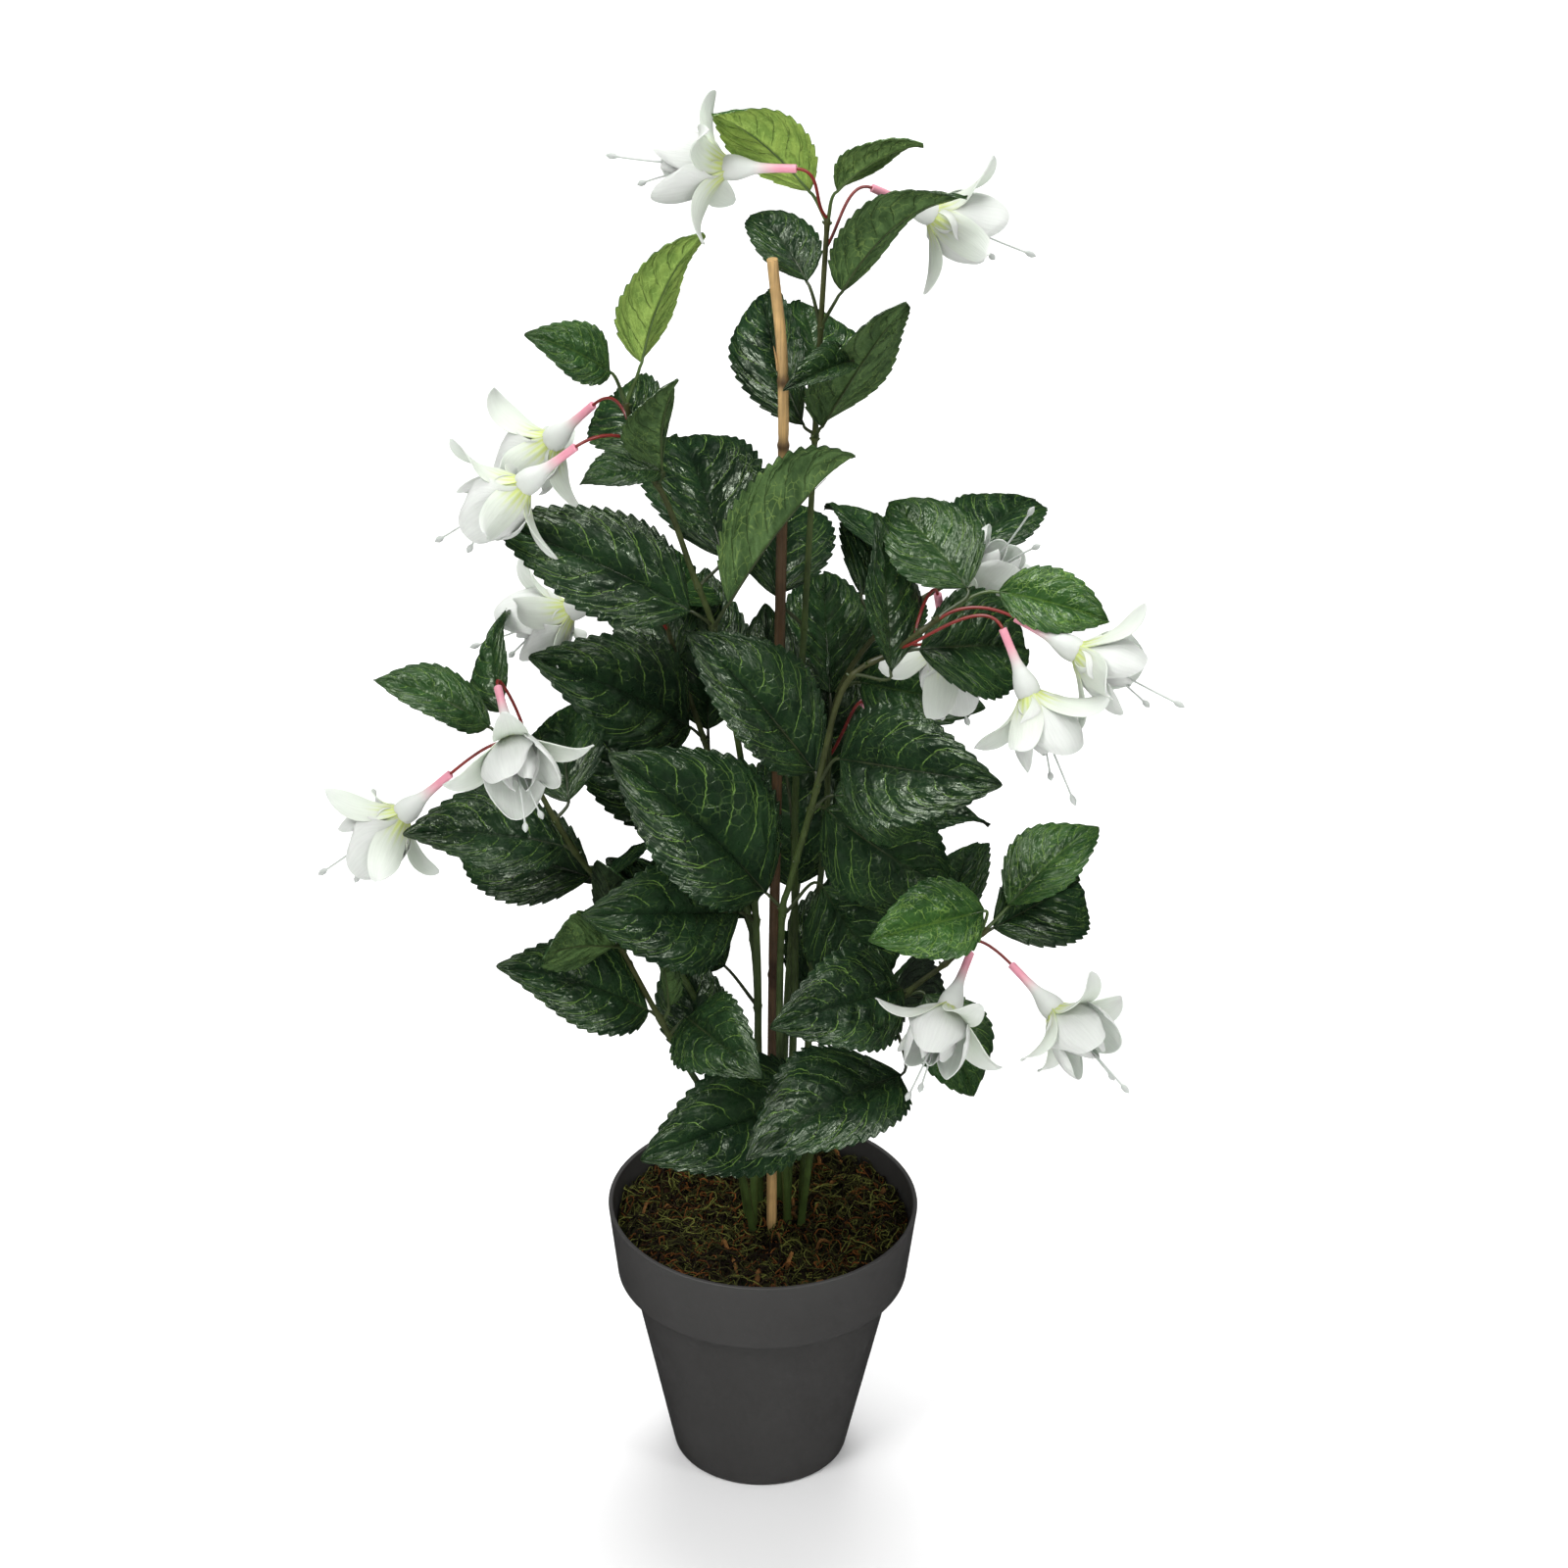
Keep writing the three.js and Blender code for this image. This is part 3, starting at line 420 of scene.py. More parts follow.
def sheet(skin, points, normals, thickness, form, tint, top=0, under=0):
    """A thin sheet: a grid of points with normals, a skin on either side and a rim between them. Its
    form is given as three grids or numbers."""
    rows, columns = points.shape[:2]
    size = rows * columns
    form = np.stack(np.broadcast_arrays(*form), axis=-1)
    upper = points + normals * thickness / 2
    lower = points - normals * thickness / 2
    faces = grid_faces(rows, columns)
    index = np.arange(size).reshape(rows, columns)
    edge = np.concatenate([index[:, 0], index[-1, 1:], index[-2::-1, -1], index[0, -2:0:-1]]).tolist()
    rim = [(b, a, a + size, b + size) for a, b in zip(edge, edge[1:] + edge[:1])]
    middle = (rows // 2, columns // 2)
    along = points[middle[0] + 1, middle[1]] - points[middle]
    across = points[middle[0], middle[1] + 1] - points[middle]
    if np.cross(along, across).dot(normals[middle]) < 0:
        faces = [face[::-1] for face in faces]
        rim = [face[::-1] for face in rim]
    both = np.concatenate([upper.reshape(-1, 3), lower.reshape(-1, 3)])
    form, tint = (np.concatenate([np.broadcast_to(mark, points.shape).reshape(-1, 3)] * 2)
                  for mark in (form, tint))
    skin.add(both, faces + rim, form, tint, top)
    skin.faces += [[corner + skin.count - size for corner in face[::-1]] for face in faces]
    skin.materials += [under] * len(faces)


# ---- leaves ----

OUTLINE_LEAN = 0.8  # below 1, a blade is widest nearer its foot
OUTLINE_FULLNESS = 0.9  # below 1, its outline is rounder than a sine
VEIN_PAIRS = 7  # side veins from foot to tip, on each side of the midrib
VEIN_SWEEP = 0.2  # how far a side vein runs forward by the margin, as a share of the length
VEIN_HOOK = 0.2  # and how much further it bends forward just inside the margin
TOOTH_STEPS = ((0, 0), (0.35, 0.45), (0.7, 0.95), (0.92, 1))  # (place along a tooth, its height)
TOOTH_DEPTH = 0.018
TOOTH_PITCH = 6
TEETH = (10, 18)  # the fewest and the most down one side of a blade
PILLOW = 0.024  # how far the blade stands up between its side veins, as a share of the length
GROOVE_DEPTH = 0.008  # of the groove along the midrib, as a share of the length
GROOVE_WIDTH = 0.07  # and its width, as a share of half the blade's
CRUMPLE = ((0.008, 5, 2), (0.004, 11, 5))  # (height as a share of the length, waves, slant)
ACROSS = 25
MIDRIB_REACH = 0.8  # how far along the blade its midrib stands out below
DROOPS = (-0.1, 0.5)  # how far a blade's margins hang, least and most
DEEP_DROOPS = (0, 0.5)
FULL_LENGTH = 84  # a leaf shorter than this is younger,
YOUNG_SPAN = 40  # and as young as can be when it is this much shorter
SEEDS = (0, 20)  # what makes one leaf's crumples and veins unlike another's
OLD_SHADED_TONES = (0, 0, 0)  # the tones of the leaves inside the bush: old, with undersides painted in shade
LEAF_SEED = 5
DEEP_LEAF_SEED = 8

STALK_GREEN = np.array([0.045, 0.06, 0.022])
YOUNG_GREEN = np.array([0.04, 0.09, 0.01])  # what a young leaf's stalk has more of
STEM_GREEN = np.array([0.05, 0.085, 0.018])
STEM_BROWN = np.array([0.075, 0.05, 0.02])
RING_SWELL = (0.35, 1.6)  # how much thicker a stem is where a leaf grows, and over what height
RING_OFFSETS = (-0.004, 0, 0.004)  # where a stem has points by such a ring, as shares of it
STUB_DROP = 1.5  # how far below its leaf a stub starts
STUB_TURN = 70  # degrees from one leaf's stubs to the next one's
STUB_HEADING = 35
STUB_RISE = 35
STUB_REACHES = (0.9, 1.7)  # from the stem's side to a stub's middle and its end
STUB_RADII = (1.0, 0.75, 0.35)


def vein_distance(u, v):
    """How far a point of the blade is from the nearest side vein: 0 on it, 0.5 midway."""
    phase = VEIN_PAIRS * (u - VEIN_SWEEP * np.abs(v) - VEIN_HOOK * v ** 4) + 0.5 * (v < 0)
    return np.abs(phase - np.round(phase))


def add_blade(skin, leaf, seed, tones):
    length = leaf.length
    teeth = int(np.clip(round(length / TOOTH_PITCH), *TEETH))
    steps = [((k + s) / teeth, h) for k in range(teeth) for s, h in TOOTH_STEPS] + [(1, 0)]
    stations, heights = np.array(steps).T
    u, v = sheet_grid(stations, ACROSS)
    outline = np.sin(pi * np.minimum(u, 0.9999) ** OUTLINE_LEAN) ** OUTLINE_FULLNESS
    tooth = TOOTH_DEPTH * ramp(u, 0.04, 0.15) * (1 - 0.6 * ramp(u, 0.8, 1))
    reach = np.maximum(length * (leaf.wide * outline + tooth * column(heights) * v ** 8), 0.3)
    inside = ramp(u, 0.02, 0.2) * (1 - ramp(u, 0.85, 1)) * (1 - v ** 6)
    pillow = np.sin(pi * vein_distance(u, v)) ** 0.7
    groove = swell(v, 0, GROOVE_WIDTH) * (1 - u)
    crumple = sum(size * np.sin(wave * u + 2.3 * seed + slant * v) * np.cos(1.7 * wave * v + seed)
                  for size, wave, slant in CRUMPLE)
    raised = length * ((PILLOW * pillow * ramp(np.abs(v), 0, 0.25) + crumple) * inside
                       - GROOVE_DEPTH * groove)
    points, up = leaf.points(u, v, reach, raised)
    sheet(skin, points, up, BLADE_THICKNESS, (u, v, seed), np.array(tones), top=1, under=2)


def add_leaf_stalk(skin, leaf, young):
    """The leaf's own stalk, which runs on below the blade as its midrib."""
    root, foot = leaf.root, leaf.foot
    leave = foot - root
    span = np.linalg.norm(leave)
    arrive = unit(leaf.chord + leaf.normal * leaf.arch * 4)
    bow = bezier(root, root + 0.4 * leave, foot - 0.35 * span * arrive, foot, 10)[:-1]
    u = np.linspace(0, MIDRIB_REACH, 12)
    spine, up = leaf.points(u, np.zeros_like(u), 0, -0.006 * leaf.length * (1 - u))
    spine -= up * column(0.25 + 0.25 * u)
    bow_radii = np.linspace(1.1, 0.85, len(bow)) * LEAF_STALK_RADIUS
    spine_radii = LEAF_STALK_RADIUS * (0.8 - 0.62 * (u / MIDRIB_REACH) ** 0.6)
    points = np.concatenate([bow, spine])
    radii = np.concatenate([bow_radii, spine_radii])
    tube(skin, points, radii, 8, form=form_along(np.arange(len(points)) * 2.0),
         tint=STALK_GREEN + young * YOUNG_GREEN)


def add_leaf(skin, leaf, seed, tones):
    add_blade(skin, leaf, seed, tones)
    add_leaf_stalk(skin, leaf, tones[0])


def add_stem(skin, route, heights, hue):
    """A stem that thins with height, with a ring and two short stubs where each leaf grows."""
    top = route.points[-1][2]
    rings = [route.share_at_height(height) + offset for height in heights for offset in RING_OFFSETS]
    levels = np.unique(np.concatenate([np.linspace(0, 1, 10 * len(route.points)), rings]).clip(0, 1))
    points = np.array([route.at(level) for level in levels])
    share = (points[:, 2] - ROOT_HEIGHT) / (top - ROOT_HEIGHT)
    radii = between(STEM_FOOT_RADIUS, STEM_TOP_RADIUS, share)
    for height in heights:
        radii = radii * (1 + RING_SWELL[0] * swell(points[:, 2], height, RING_SWELL[1]))
    radii[-1] *= 0.5
    brown = ramp(share, 0.55, 1)[:, None] * 0.5
    lengths = np.concatenate([[0], np.cumsum(np.linalg.norm(np.diff(points, axis=0), axis=1))])
    tube(skin, points, radii, 12, form=form_along(lengths), tint=hue * (1 - brown) + STEM_BROWN * brown)
    for index, height in enumerate(heights):
        here = route.at_height(height - STUB_DROP)
        share = (height - ROOT_HEIGHT) / (top - ROOT_HEIGHT)
        radius = between(STEM_FOOT_RADIUS, STEM_TOP_RADIUS, share)
        for turn in (0, 180):
            out = direction(STUB_TURN * index + STUB_HEADING + turn, STUB_RISE)
            stub = [here, *(here + out * (radius + reach) for reach in STUB_REACHES)]
            tube(skin, stub, STUB_RADII, 7, tint=hue * 0.9)


def make_foliage(materials):
    draw = np.random.default_rng(LEAF_SEED)
    deep_draw = np.random.default_rng(DEEP_LEAF_SEED)
    for name, points in STEMS.items():
        skin = Skin()
        route = Route(points)
        leaves = LEAVES[name]
        deep_leaves = DEEP_LEAVES.get(name, [])
        hue = STEM_GREEN * draw.uniform(0.8, 1.2)
        add_stem(skin, route, sorted({leaf.height for leaf in leaves + deep_leaves}), hue)
        for leaf in leaves:
            leaf.place(route, draw.uniform(*DROOPS))
            youth = float(np.clip((FULL_LENGTH - leaf.length) / YOUNG_SPAN, 0, 1))
            young = youth * draw.uniform(0.3, 0.6)
            # most leaves get a low pale tone, so their undersides are mostly painted in shade
            tones = leaf.tones or (young, 0.05 + 0.3 * young, 0)
            add_leaf(skin, leaf, draw.uniform(*SEEDS), tones)
        for leaf in deep_leaves:
            leaf.place(route, deep_draw.uniform(*DEEP_DROOPS))
            add_leaf(skin, leaf, deep_draw.uniform(*SEEDS), OLD_SHADED_TONES)
        skin.piece(f"foliage_{name}", materials, node=f"stem_{name}")


# ---- blooms ----

PINK = np.array([0.72, 0.3, 0.38])
WHITE = np.array([0.6, 0.625, 0.59])
PALE_GREEN = np.array([0.53, 0.615, 0.46])
YELLOW_GREEN = np.array([0.5, 0.6, 0.15])
THREAD_WHITE = np.array([0.45, 0.47, 0.45])
TUBE_PROFILE = ((0, 1.7), (0.15, 2.05), (10, 2.1), (17, 2.5), (21, 3.4), (25, 5.0), (29, 6.2),
                (33, 6.3), (36.5, 5.2), (39, 3.0), (40, 0.6))
PINK_FADE = (6, 22)  # from where to where along the tube the pink turns white
SEPAL_FOOT = (33, 4)  # how far along the bloom and how far out a sepal starts
SEPAL_START = 42  # degrees between the bloom's direction and the foot of a sepal
SEPAL_DROOPS = (6, -14, 4, -8)  # how much wider than the bloom's spread each sepal bends
SEPAL_HEADING = 30
SEPAL_CURL = (-0.1, 0.5)  # radians that its end bends back
SEPAL_TWIST = (-1, 1)  # radians that it turns about its own length
SEPAL_HALF_WIDTH = 8.3
SEPAL_CUP = 0.24
SEPAL_WAVE = 0.8
SEPAL_CREASE = (0.35, 0.16)  # its height, and its width as a share of half the sepal
PETAL_FOOT = 34
PETAL_FLARE = (-2.5, 3.5)  # how far its end stands in or out
PETAL_OVERLAP = 1.2
PETAL_RINGS = (  # count, first heading, radius at foot, middle and mouth, half spread, length
    (3, 0, 3.4, 10, 5, 66, 32),
    (3, 60, 4.6, 15.5, 15, 66, PETAL_LENGTH),
)
THREADS = ((58, 4, 90), (44, 10, 240))  # length, how far out its end stands, heading
CLUB = (1.6, 0.95, 0.05)  # radius of the club on a thread, its place along it and half its length
BLOOM_SEED = 23
WIRE_POINTS = 28
WIRE_END = 0.8  # from the stem's middle to a wire's start, and from the tube's top down to its end


class Bloom:
    """A bloom's own frame: distance along it, radius out from it and degrees round it."""

    def __init__(self, top, heading, rise, turn):
        self.origin = np.array(top, float)
        self.axis = direction(heading, rise)
        self.level = unit(np.cross(UP, self.axis))
        self.flat = np.cross(self.axis, self.level)
        self.turn = turn

    def spoke(self, degrees):
        angle = column(np.radians(np.asarray(degrees, float) + self.turn))
        return self.level * np.cos(angle) + self.flat * np.sin(angle)

    def place(self, distance, out, degrees):
        return self.origin + self.axis * column(distance) + self.spoke(degrees) * column(out)


def blend(a, b, share):
    share = column(share)
    return a * (1 - share) + b * share


def grid_normals(points):
    along = np.gradient(points, axis=0)
    across = np.gradient(points, axis=1)
    return unit(np.cross(along, across))


def add_tube(skin, bloom):
    knots = np.array(TUBE_PROFILE, float)
    distances = np.unique(np.concatenate([knots[:, 0], np.arange(knots[-1, 0] + 1)]))
    radii = np.interp(distances, knots[:, 0], knots[:, 1])
    radii[2:-1] = np.convolve(radii, np.ones(3) / 3, "same")[2:-1]
    points = bloom.origin + bloom.axis * column(distances)
    tint = blend(WHITE, PINK, 1 - ramp(distances, *PINK_FADE))
    tube(skin, points, radii, 20, form=form_along(distances), tint=tint)


def add_sepal(skin, bloom, degrees, spread, draw):
    out = bloom.spoke(degrees)
    across = np.cross(bloom.axis, out)
    u, v = sheet_grid(np.linspace(0, 1, 20), 25)
    start = radians(SEPAL_START)
    swing = radians(spread) - start
    curl = draw.uniform(*SEPAL_CURL)
    twist = draw.uniform(*SEPAL_TWIST) * ramp(u, 0.15, 1)
    angle = start + swing * u + curl * ramp(u, 0.6, 1)
    step = SEPAL_LENGTH / (len(u) - 1)
    cosines, sines = np.cos(angle[:, :1]), np.sin(angle[:, :1])
    ahead = SEPAL_FOOT[0] + step * (np.cumsum(cosines, axis=0) - cosines)
    aside = SEPAL_FOOT[1] + step * (np.cumsum(sines, axis=0) - sines)
    face = out * column(np.cos(angle)) - bloom.axis * column(np.sin(angle))
    normal = face * column(np.cos(twist)) - across * column(np.sin(twist))
    across = across * column(np.cos(twist)) + face * column(np.sin(twist))
    width = 0.4 + SEPAL_HALF_WIDTH * np.sin(pi * (0.09 + 0.905 * u) ** 1.05) ** 0.55
    wave = SEPAL_WAVE * np.sin(7 * u + draw.uniform(0, 6)) * v * np.abs(v)
    crease = SEPAL_CREASE[0] * swell(v, 0, SEPAL_CREASE[1]) * (1 - u)
    lifted = -SEPAL_CUP * width * v * v + wave + crease
    points = (bloom.origin + bloom.axis * column(ahead) + out * column(aside)
              + across * column(v * width) + normal * column(lifted))
    streak = 0.1 * np.cos(16 * v) + 0.14 * np.abs(v)
    base = 1 - ramp(u + streak, 0.02, 0.42)
    tint = blend(blend(WHITE, PALE_GREEN, 0.7 * (1 - u)), YELLOW_GREEN, base)
    form = (u * SEPAL_LENGTH, v * 8, degrees)
    sheet(skin, points, grid_normals(points), SEPAL_THICKNESS, form, tint)


def add_petal(skin, bloom, ring, degrees, draw):
    _, _, foot, middle, mouth, spread, length = ring
    u, v = sheet_grid(np.linspace(0, 1, 18), 15)
    quad = 2 * (foot + mouth - 2 * middle)
    radius = foot + (4 * middle - 3 * foot - mouth) * u + quad * u * u
    share = 0.45 + 0.6 * ramp(u, 0, 0.55) - 0.2 * ramp(u, 0.7, 1)
    angle = degrees + v * share * spread
    phase = draw.uniform(0, 6)
    ruffle = (np.sin(2.6 * v + phase) + 0.5 * np.sin(6 * v + 2 * phase + 2 * u)) * u * u
    flare = draw.uniform(*PETAL_FLARE) * ramp(u, 0.5, 1)
    overlap = PETAL_OVERLAP * v * ramp(u, 0.1, 0.5)
    reach = length * (1 - 0.4 * np.abs(v) ** 2.4) * draw.uniform(0.9, 1.03)
    points = bloom.place(PETAL_FOOT + reach * u, radius + ruffle + flare + overlap, angle)
    tint = blend(WHITE, PALE_GREEN, 0.55 * (1 - ramp(u, 0, 0.5)))
    form = (u * length, v * 12, degrees)
    sheet(skin, points, grid_normals(points), PETAL_THICKNESS, form, tint)


def add_thread(skin, bloom, reach, out, degrees):
    u = np.linspace(0, 1, 30)
    points = bloom.place(PETAL_FOOT + reach * u, 0.8 + out * u * u, np.full_like(u, degrees))
    club_radius, middle, half = CLUB
    club = club_radius * np.sqrt(np.maximum(1 - ((u - middle) / half) ** 2, 0))
    radii = np.maximum(THREAD_RADIUS, club)
    radii[-1] = 0.3
    tube(skin, points, radii, 8, tint=THREAD_WHITE)


def make_blooms(petal_material):
    draw = np.random.default_rng(BLOOM_SEED)
    for name, (_, _, top, heading, rise, turn, spread) in BLOOMS.items():
        skin = Skin()
        bloom = Bloom(top, heading, rise, turn)
        add_tube(skin, bloom)
        for k, more in enumerate(SEPAL_DROOPS):
            add_sepal(skin, bloom, 90 * k + SEPAL_HEADING, spread + more, draw)
        for ring in PETAL_RINGS:
            for k in range(ring[0]):
                add_petal(skin, bloom, ring, ring[1] + 360 * k / ring[0], draw)
        for reach, out, degrees in THREADS:
            add_thread(skin, bloom, reach, out, degrees)
        skin.piece(f"fuchsia_{name}", [petal_material], node=f"bloom_{name}", sharp=60)


def make_wires(wire_material):
    """The red wire that each bloom hangs from."""
    for name, (stem, height, top, heading, rise, _, _) in BLOOMS.items():
        skin = Skin()
        route = Route(STEMS[stem])
        root = route.at_height(height)
        higher = height + 4
        up_stem = unit(route.at_height(higher) - root) if higher < route.points[-1][2] else UP
        forward = direction(heading, rise)
        end = np.array(top) + forward * WIRE_END
        reach = end - root
        leave = unit(reach - up_stem * reach.dot(up_stem))
        start = root + leave * WIRE_END
        span = np.linalg.norm(end - start)
        bow = bezier(start, start + (leave + UP) * 0.25 * span, end - forward * 0.4 * span, end,
                     WIRE_POINTS)
        form = form_along(np.linspace(0, span, WIRE_POINTS))
        tube(skin, bow, np.full(WIRE_POINTS, WIRE_RADIUS), 10, form=form)
        skin.piece(f"wire_{name}", [wire_material], node=f"stalk_{name}")


# ---- pot, moss and cane ----

SHOULDER_RISE = 3  # from the collar's foot up to where the wall inside slopes in over it
MOSS_RINGS, MOSS_SPOKES = 64, 220
MOSS_CLEAR = 0.6  # between the mat and the pot
CLUMP_SIZE, CLUMP_RISE = 21, 3.2
TUFT_SIZE, TUFT_RISE = 5.5, 2
PATCH_SIZE, SPECK_SIZE = 16, 4
MOSS_BROWN = np.array([0.03, 0.014, 0.006])
MOSS_OLIVE = np.array([0.018, 0.022, 0.007])
FIBRE_SEED = 41
FIBRE_STEPS = 9
FIBRE_CLEAR = 1.5  # between the strands and the pot
FIBRE_ARCH = (0.4, 6)
FIBRE_KINDS = (  # count, length, radius, curl, tint
    (900, 15, 0.34, 1.4, (0.016, 0.01, 0.006)),
    (420, 14, 0.34, 1.6, (0.14, 0.052, 0.013)),
    (750, 20, 0.30, 2.6, (0.045, 0.045, 0.013)),
    (480, 24, 0.29, 4.2, (0.14, 0.15, 0.035)),
    (30, 10, 1.1, 0.5, (0.2, 0.095, 0.03)),
)
CANE_RING = (0.45, 1.5)  # how far a joint stands out, and over what height
CANE_GROOVE = (0.2, 3.5, 2)  # depth of the groove over it, how far above it, and its height
CANE_STAIN = 4  # how far a joint's dark ring reaches
CANE_TAN_ABOVE = (555, 600)  # the cane is painted dark below these heights, a painted shade from the foliage above
CANE_TAN_BELOW = (165, 210)  # and tan again by the moss, below the painted shade
CANE_TAN = np.array([0.56, 0.36, 0.15])
# the brown of the dark joints, and of the painted shade down the cane's middle
CANE_JOINT_AND_SHADE_BROWN = np.array([0.05, 0.026, 0.013])
SPLINTER_HEIGHT = 636
SPLINTER_TAN = (0.5, 0.3, 0.12)


def inner_radius(height):
    if height > COLLAR_FOOT_HEIGHT:
        share = (height - COLLAR_FOOT_HEIGHT) / (POT_HEIGHT - COLLAR_FOOT_HEIGHT)
        return between(COLLAR_FOOT_RADIUS, POT_RIM_RADIUS, share) - POT_WALL
    return between(POT_BASE_RADIUS, POT_BODY_RADIUS, height / COLLAR_FOOT_HEIGHT) - POT_WALL


def rounded(corners):
    """A profile of (radius, height, fillet) corners with each corner rounded by its fillet."""
    path = []
    for i, (radius, height, fillet) in enumerate(corners):
        here = np.array([radius, height], float)
        if not fillet:
            path.append(here)
            continue
        before = np.array(corners[i - 1][:2]) - here
        after = np.array(corners[i + 1][:2]) - here
        a, b = here + unit(before) * fillet, here + unit(after) * fillet
        for t in np.linspace(0, 1, 6):
            path.append((1 - t) ** 2 * a + 2 * t * (1 - t) * here + t * t * b)
    return path


def make_pot(material):
    ledge = COLLAR_FOOT_HEIGHT - POT_WALL
    shoulder = COLLAR_FOOT_HEIGHT + SHOULDER_RISE
    profile = rounded([
        (0, 0, 0), (POT_BASE_RADIUS, 0, 2.4),
        (POT_BODY_RADIUS, COLLAR_FOOT_HEIGHT, 0.6), (COLLAR_FOOT_RADIUS, COLLAR_FOOT_HEIGHT, 1.3),
        (POT_RIM_RADIUS, POT_HEIGHT, 0.9), (POT_RIM_RADIUS - POT_WALL, POT_HEIGHT, 0.8),
        (inner_radius(shoulder), shoulder, 1), (inner_radius(ledge), ledge, 1),
        (inner_radius(POT_WALL), POT_WALL, 1), (0, POT_WALL, 0)])
    angles = np.arange(POT_SIDES) * 2 * pi / POT_SIDES
    ring = np.stack([np.cos(angles), np.sin(angles), np.zeros_like(angles)], axis=1)
    rings = [ring * radius + UP * height for radius, height in profile[1:-1]]
    skin = Skin()
    skin.add(np.array(rings), ring_faces(len(rings), POT_SIDES))
    skin.piece("pot_shell", [material], node="pot", sharp=40)


def moss_height(x, y):
    """The top of the mat of moss: soft clumps with smaller tufts on them."""
    clumps = noise.fractal(Vector((x / CLUMP_SIZE, y / CLUMP_SIZE, 3.1)), 0.8, 2.1, 3)
    tufts = noise.fractal(Vector((x / TUFT_SIZE, y / TUFT_SIZE, 8.7)), 0.7, 2.2, 4)
    return MOSS_TOP - 2 + CLUMP_RISE * clumps + TUFT_RISE * tufts


def moss_colour(x, y):
    patch = noise.noise(Vector((x / PATCH_SIZE, y / PATCH_SIZE, 5.0)))
    speck = noise.noise(Vector((x / SPECK_SIZE, y / SPECK_SIZE, 9.0)))
    olive = min(max(0.5 + 1.4 * patch + 0.5 * speck, 0), 1)
    return (MOSS_BROWN * (1 - olive) + MOSS_OLIVE * olive) * (0.8 + 0.5 * speck)


def make_moss(material):
    edge = inner_radius(MOSS_TOP) - MOSS_CLEAR
    foot = inner_radius(FILLER_TOP) - 0.8
    angles = [2 * pi * k / MOSS_SPOKES for k in range(MOSS_SPOKES)]
    radii = [max(edge * i / MOSS_RINGS, 0.4) for i in range(MOSS_RINGS + 1)] + [foot]
    places = [(radius * cos(angle), radius * sin(angle)) for radius in radii for angle in angles]
    last = (MOSS_RINGS + 1) * MOSS_SPOKES
    points = [(x, y, moss_height(x, y)) for x, y in places[:last]]
    points += [(x, y, FILLER_TOP + GAP) for x, y in places[last:]]
    tints = [moss_colour(x, y) for x, y in places[:last]] + [np.zeros(3)] * MOSS_SPOKES
    faces = [face[::-1] for face in ring_faces(len(radii), MOSS_SPOKES)]  # the rings run downwards
    skin = Skin()
    skin.add(points, faces, tint=np.array(tints))
    skin.piece("moss_mat", [material], node="moss", sharp=180)


def make_fibres(material):
    """Loose strands of moss: curls that lie on the mat and arch a little clear of it."""
    draw = np.random.default_rng(FIBRE_SEED)
    skin = Skin()
    limit = inner_radius(MOSS_TOP) - FIBRE_CLEAR
    last = FIBRE_STEPS - 1
    for count, length, thick, curl, hue in FIBRE_KINDS:
        for _ in range(count):
            radius, angle = limit * sqrt(draw.uniform(0, 1)), draw.uniform(0, 2 * pi)
            x, y = radius * cos(angle), radius * sin(angle)
            heading, bend = draw.uniform(0, 2 * pi), draw.normal(0, curl)
            reach = length * draw.uniform(0.6, 1.4) / last
            arch = draw.uniform(*FIBRE_ARCH)
            points = []
            for i in range(FIBRE_STEPS):
                share = i / last
                lift = 4 * arch * share * (1 - share) + draw.normal(0, 0.25)
                points.append((x, y, moss_height(x, y) + 0.2 + lift))
                heading += (bend + draw.normal(0, 1.2)) / last * 1.6
                x, y = x + reach * cos(heading), y + reach * sin(heading)
                away = hypot(x, y)
                if away > limit:
                    x, y = x * limit / away, y * limit / away
            radii = thick * draw.uniform(0.7, 1.3) * np.array([0.35] + [1] * (last - 1) + [0.35])
            tube(skin, points, radii, 4, tint=np.array(hue) * draw.uniform(0.5, 1.5))
    skin.piece("moss_strands", [material])


def make_cane(material):
    """The bamboo cane: rings and grooves at its joints, a middle painted dark as the shade of the foliage
    above, and a loose splinter.
    """
    route = Route(CANE_ROUTE)
    top = route.points[-1]
    near_joints = [np.linspace(joint - 6, joint + 6, 13) for joint in CANE_NODES]
    heights = np.unique(np.concatenate([np.linspace(ROOT_HEIGHT, top[2], 90), *near_joints]))
    points = np.array([route.at_height(height) for height in heights])
    points[-1] = top
    radii = np.full(len(heights), CANE_RADIUS * 0.93)
    stain = np.zeros(len(heights))
    stand, ring_height = CANE_RING
    depth, above, groove_height = CANE_GROOVE
    for joint in CANE_NODES:
        radii += stand * swell(heights, joint, ring_height)
        radii -= depth * swell(heights - joint, above, groove_height)
        stain = np.maximum(stain, swell(heights, joint, CANE_STAIN))
    # painted shade: the cane's middle, under the foliage, is darkened
    foliage_shade = (1 - ramp(heights, *CANE_TAN_ABOVE)) * ramp(heights, *CANE_TAN_BELOW)
    tint = blend(CANE_TAN, CANE_JOINT_AND_SHADE_BROWN, np.clip(0.85 * stain + 0.93 * foliage_shade, 0, 1))
    skin = Skin()
    tube(skin, points, radii, 20, form=form_along(heights), tint=tint)
    base = route.at_height(SPLINTER_HEIGHT) + np.array([-2.2, -1.4, 0])
    splinter = [base, base + np.array([-0.9, -0.3, 6]), base + np.array([-2.4, -0.4, 13])]
    tube(skin, splinter, [0.8, 0.6, 0.15], 6, tint=SPLINTER_TAN)
    skin.piece("bamboo_cane", [material], node="cane")


# ---- materials ----


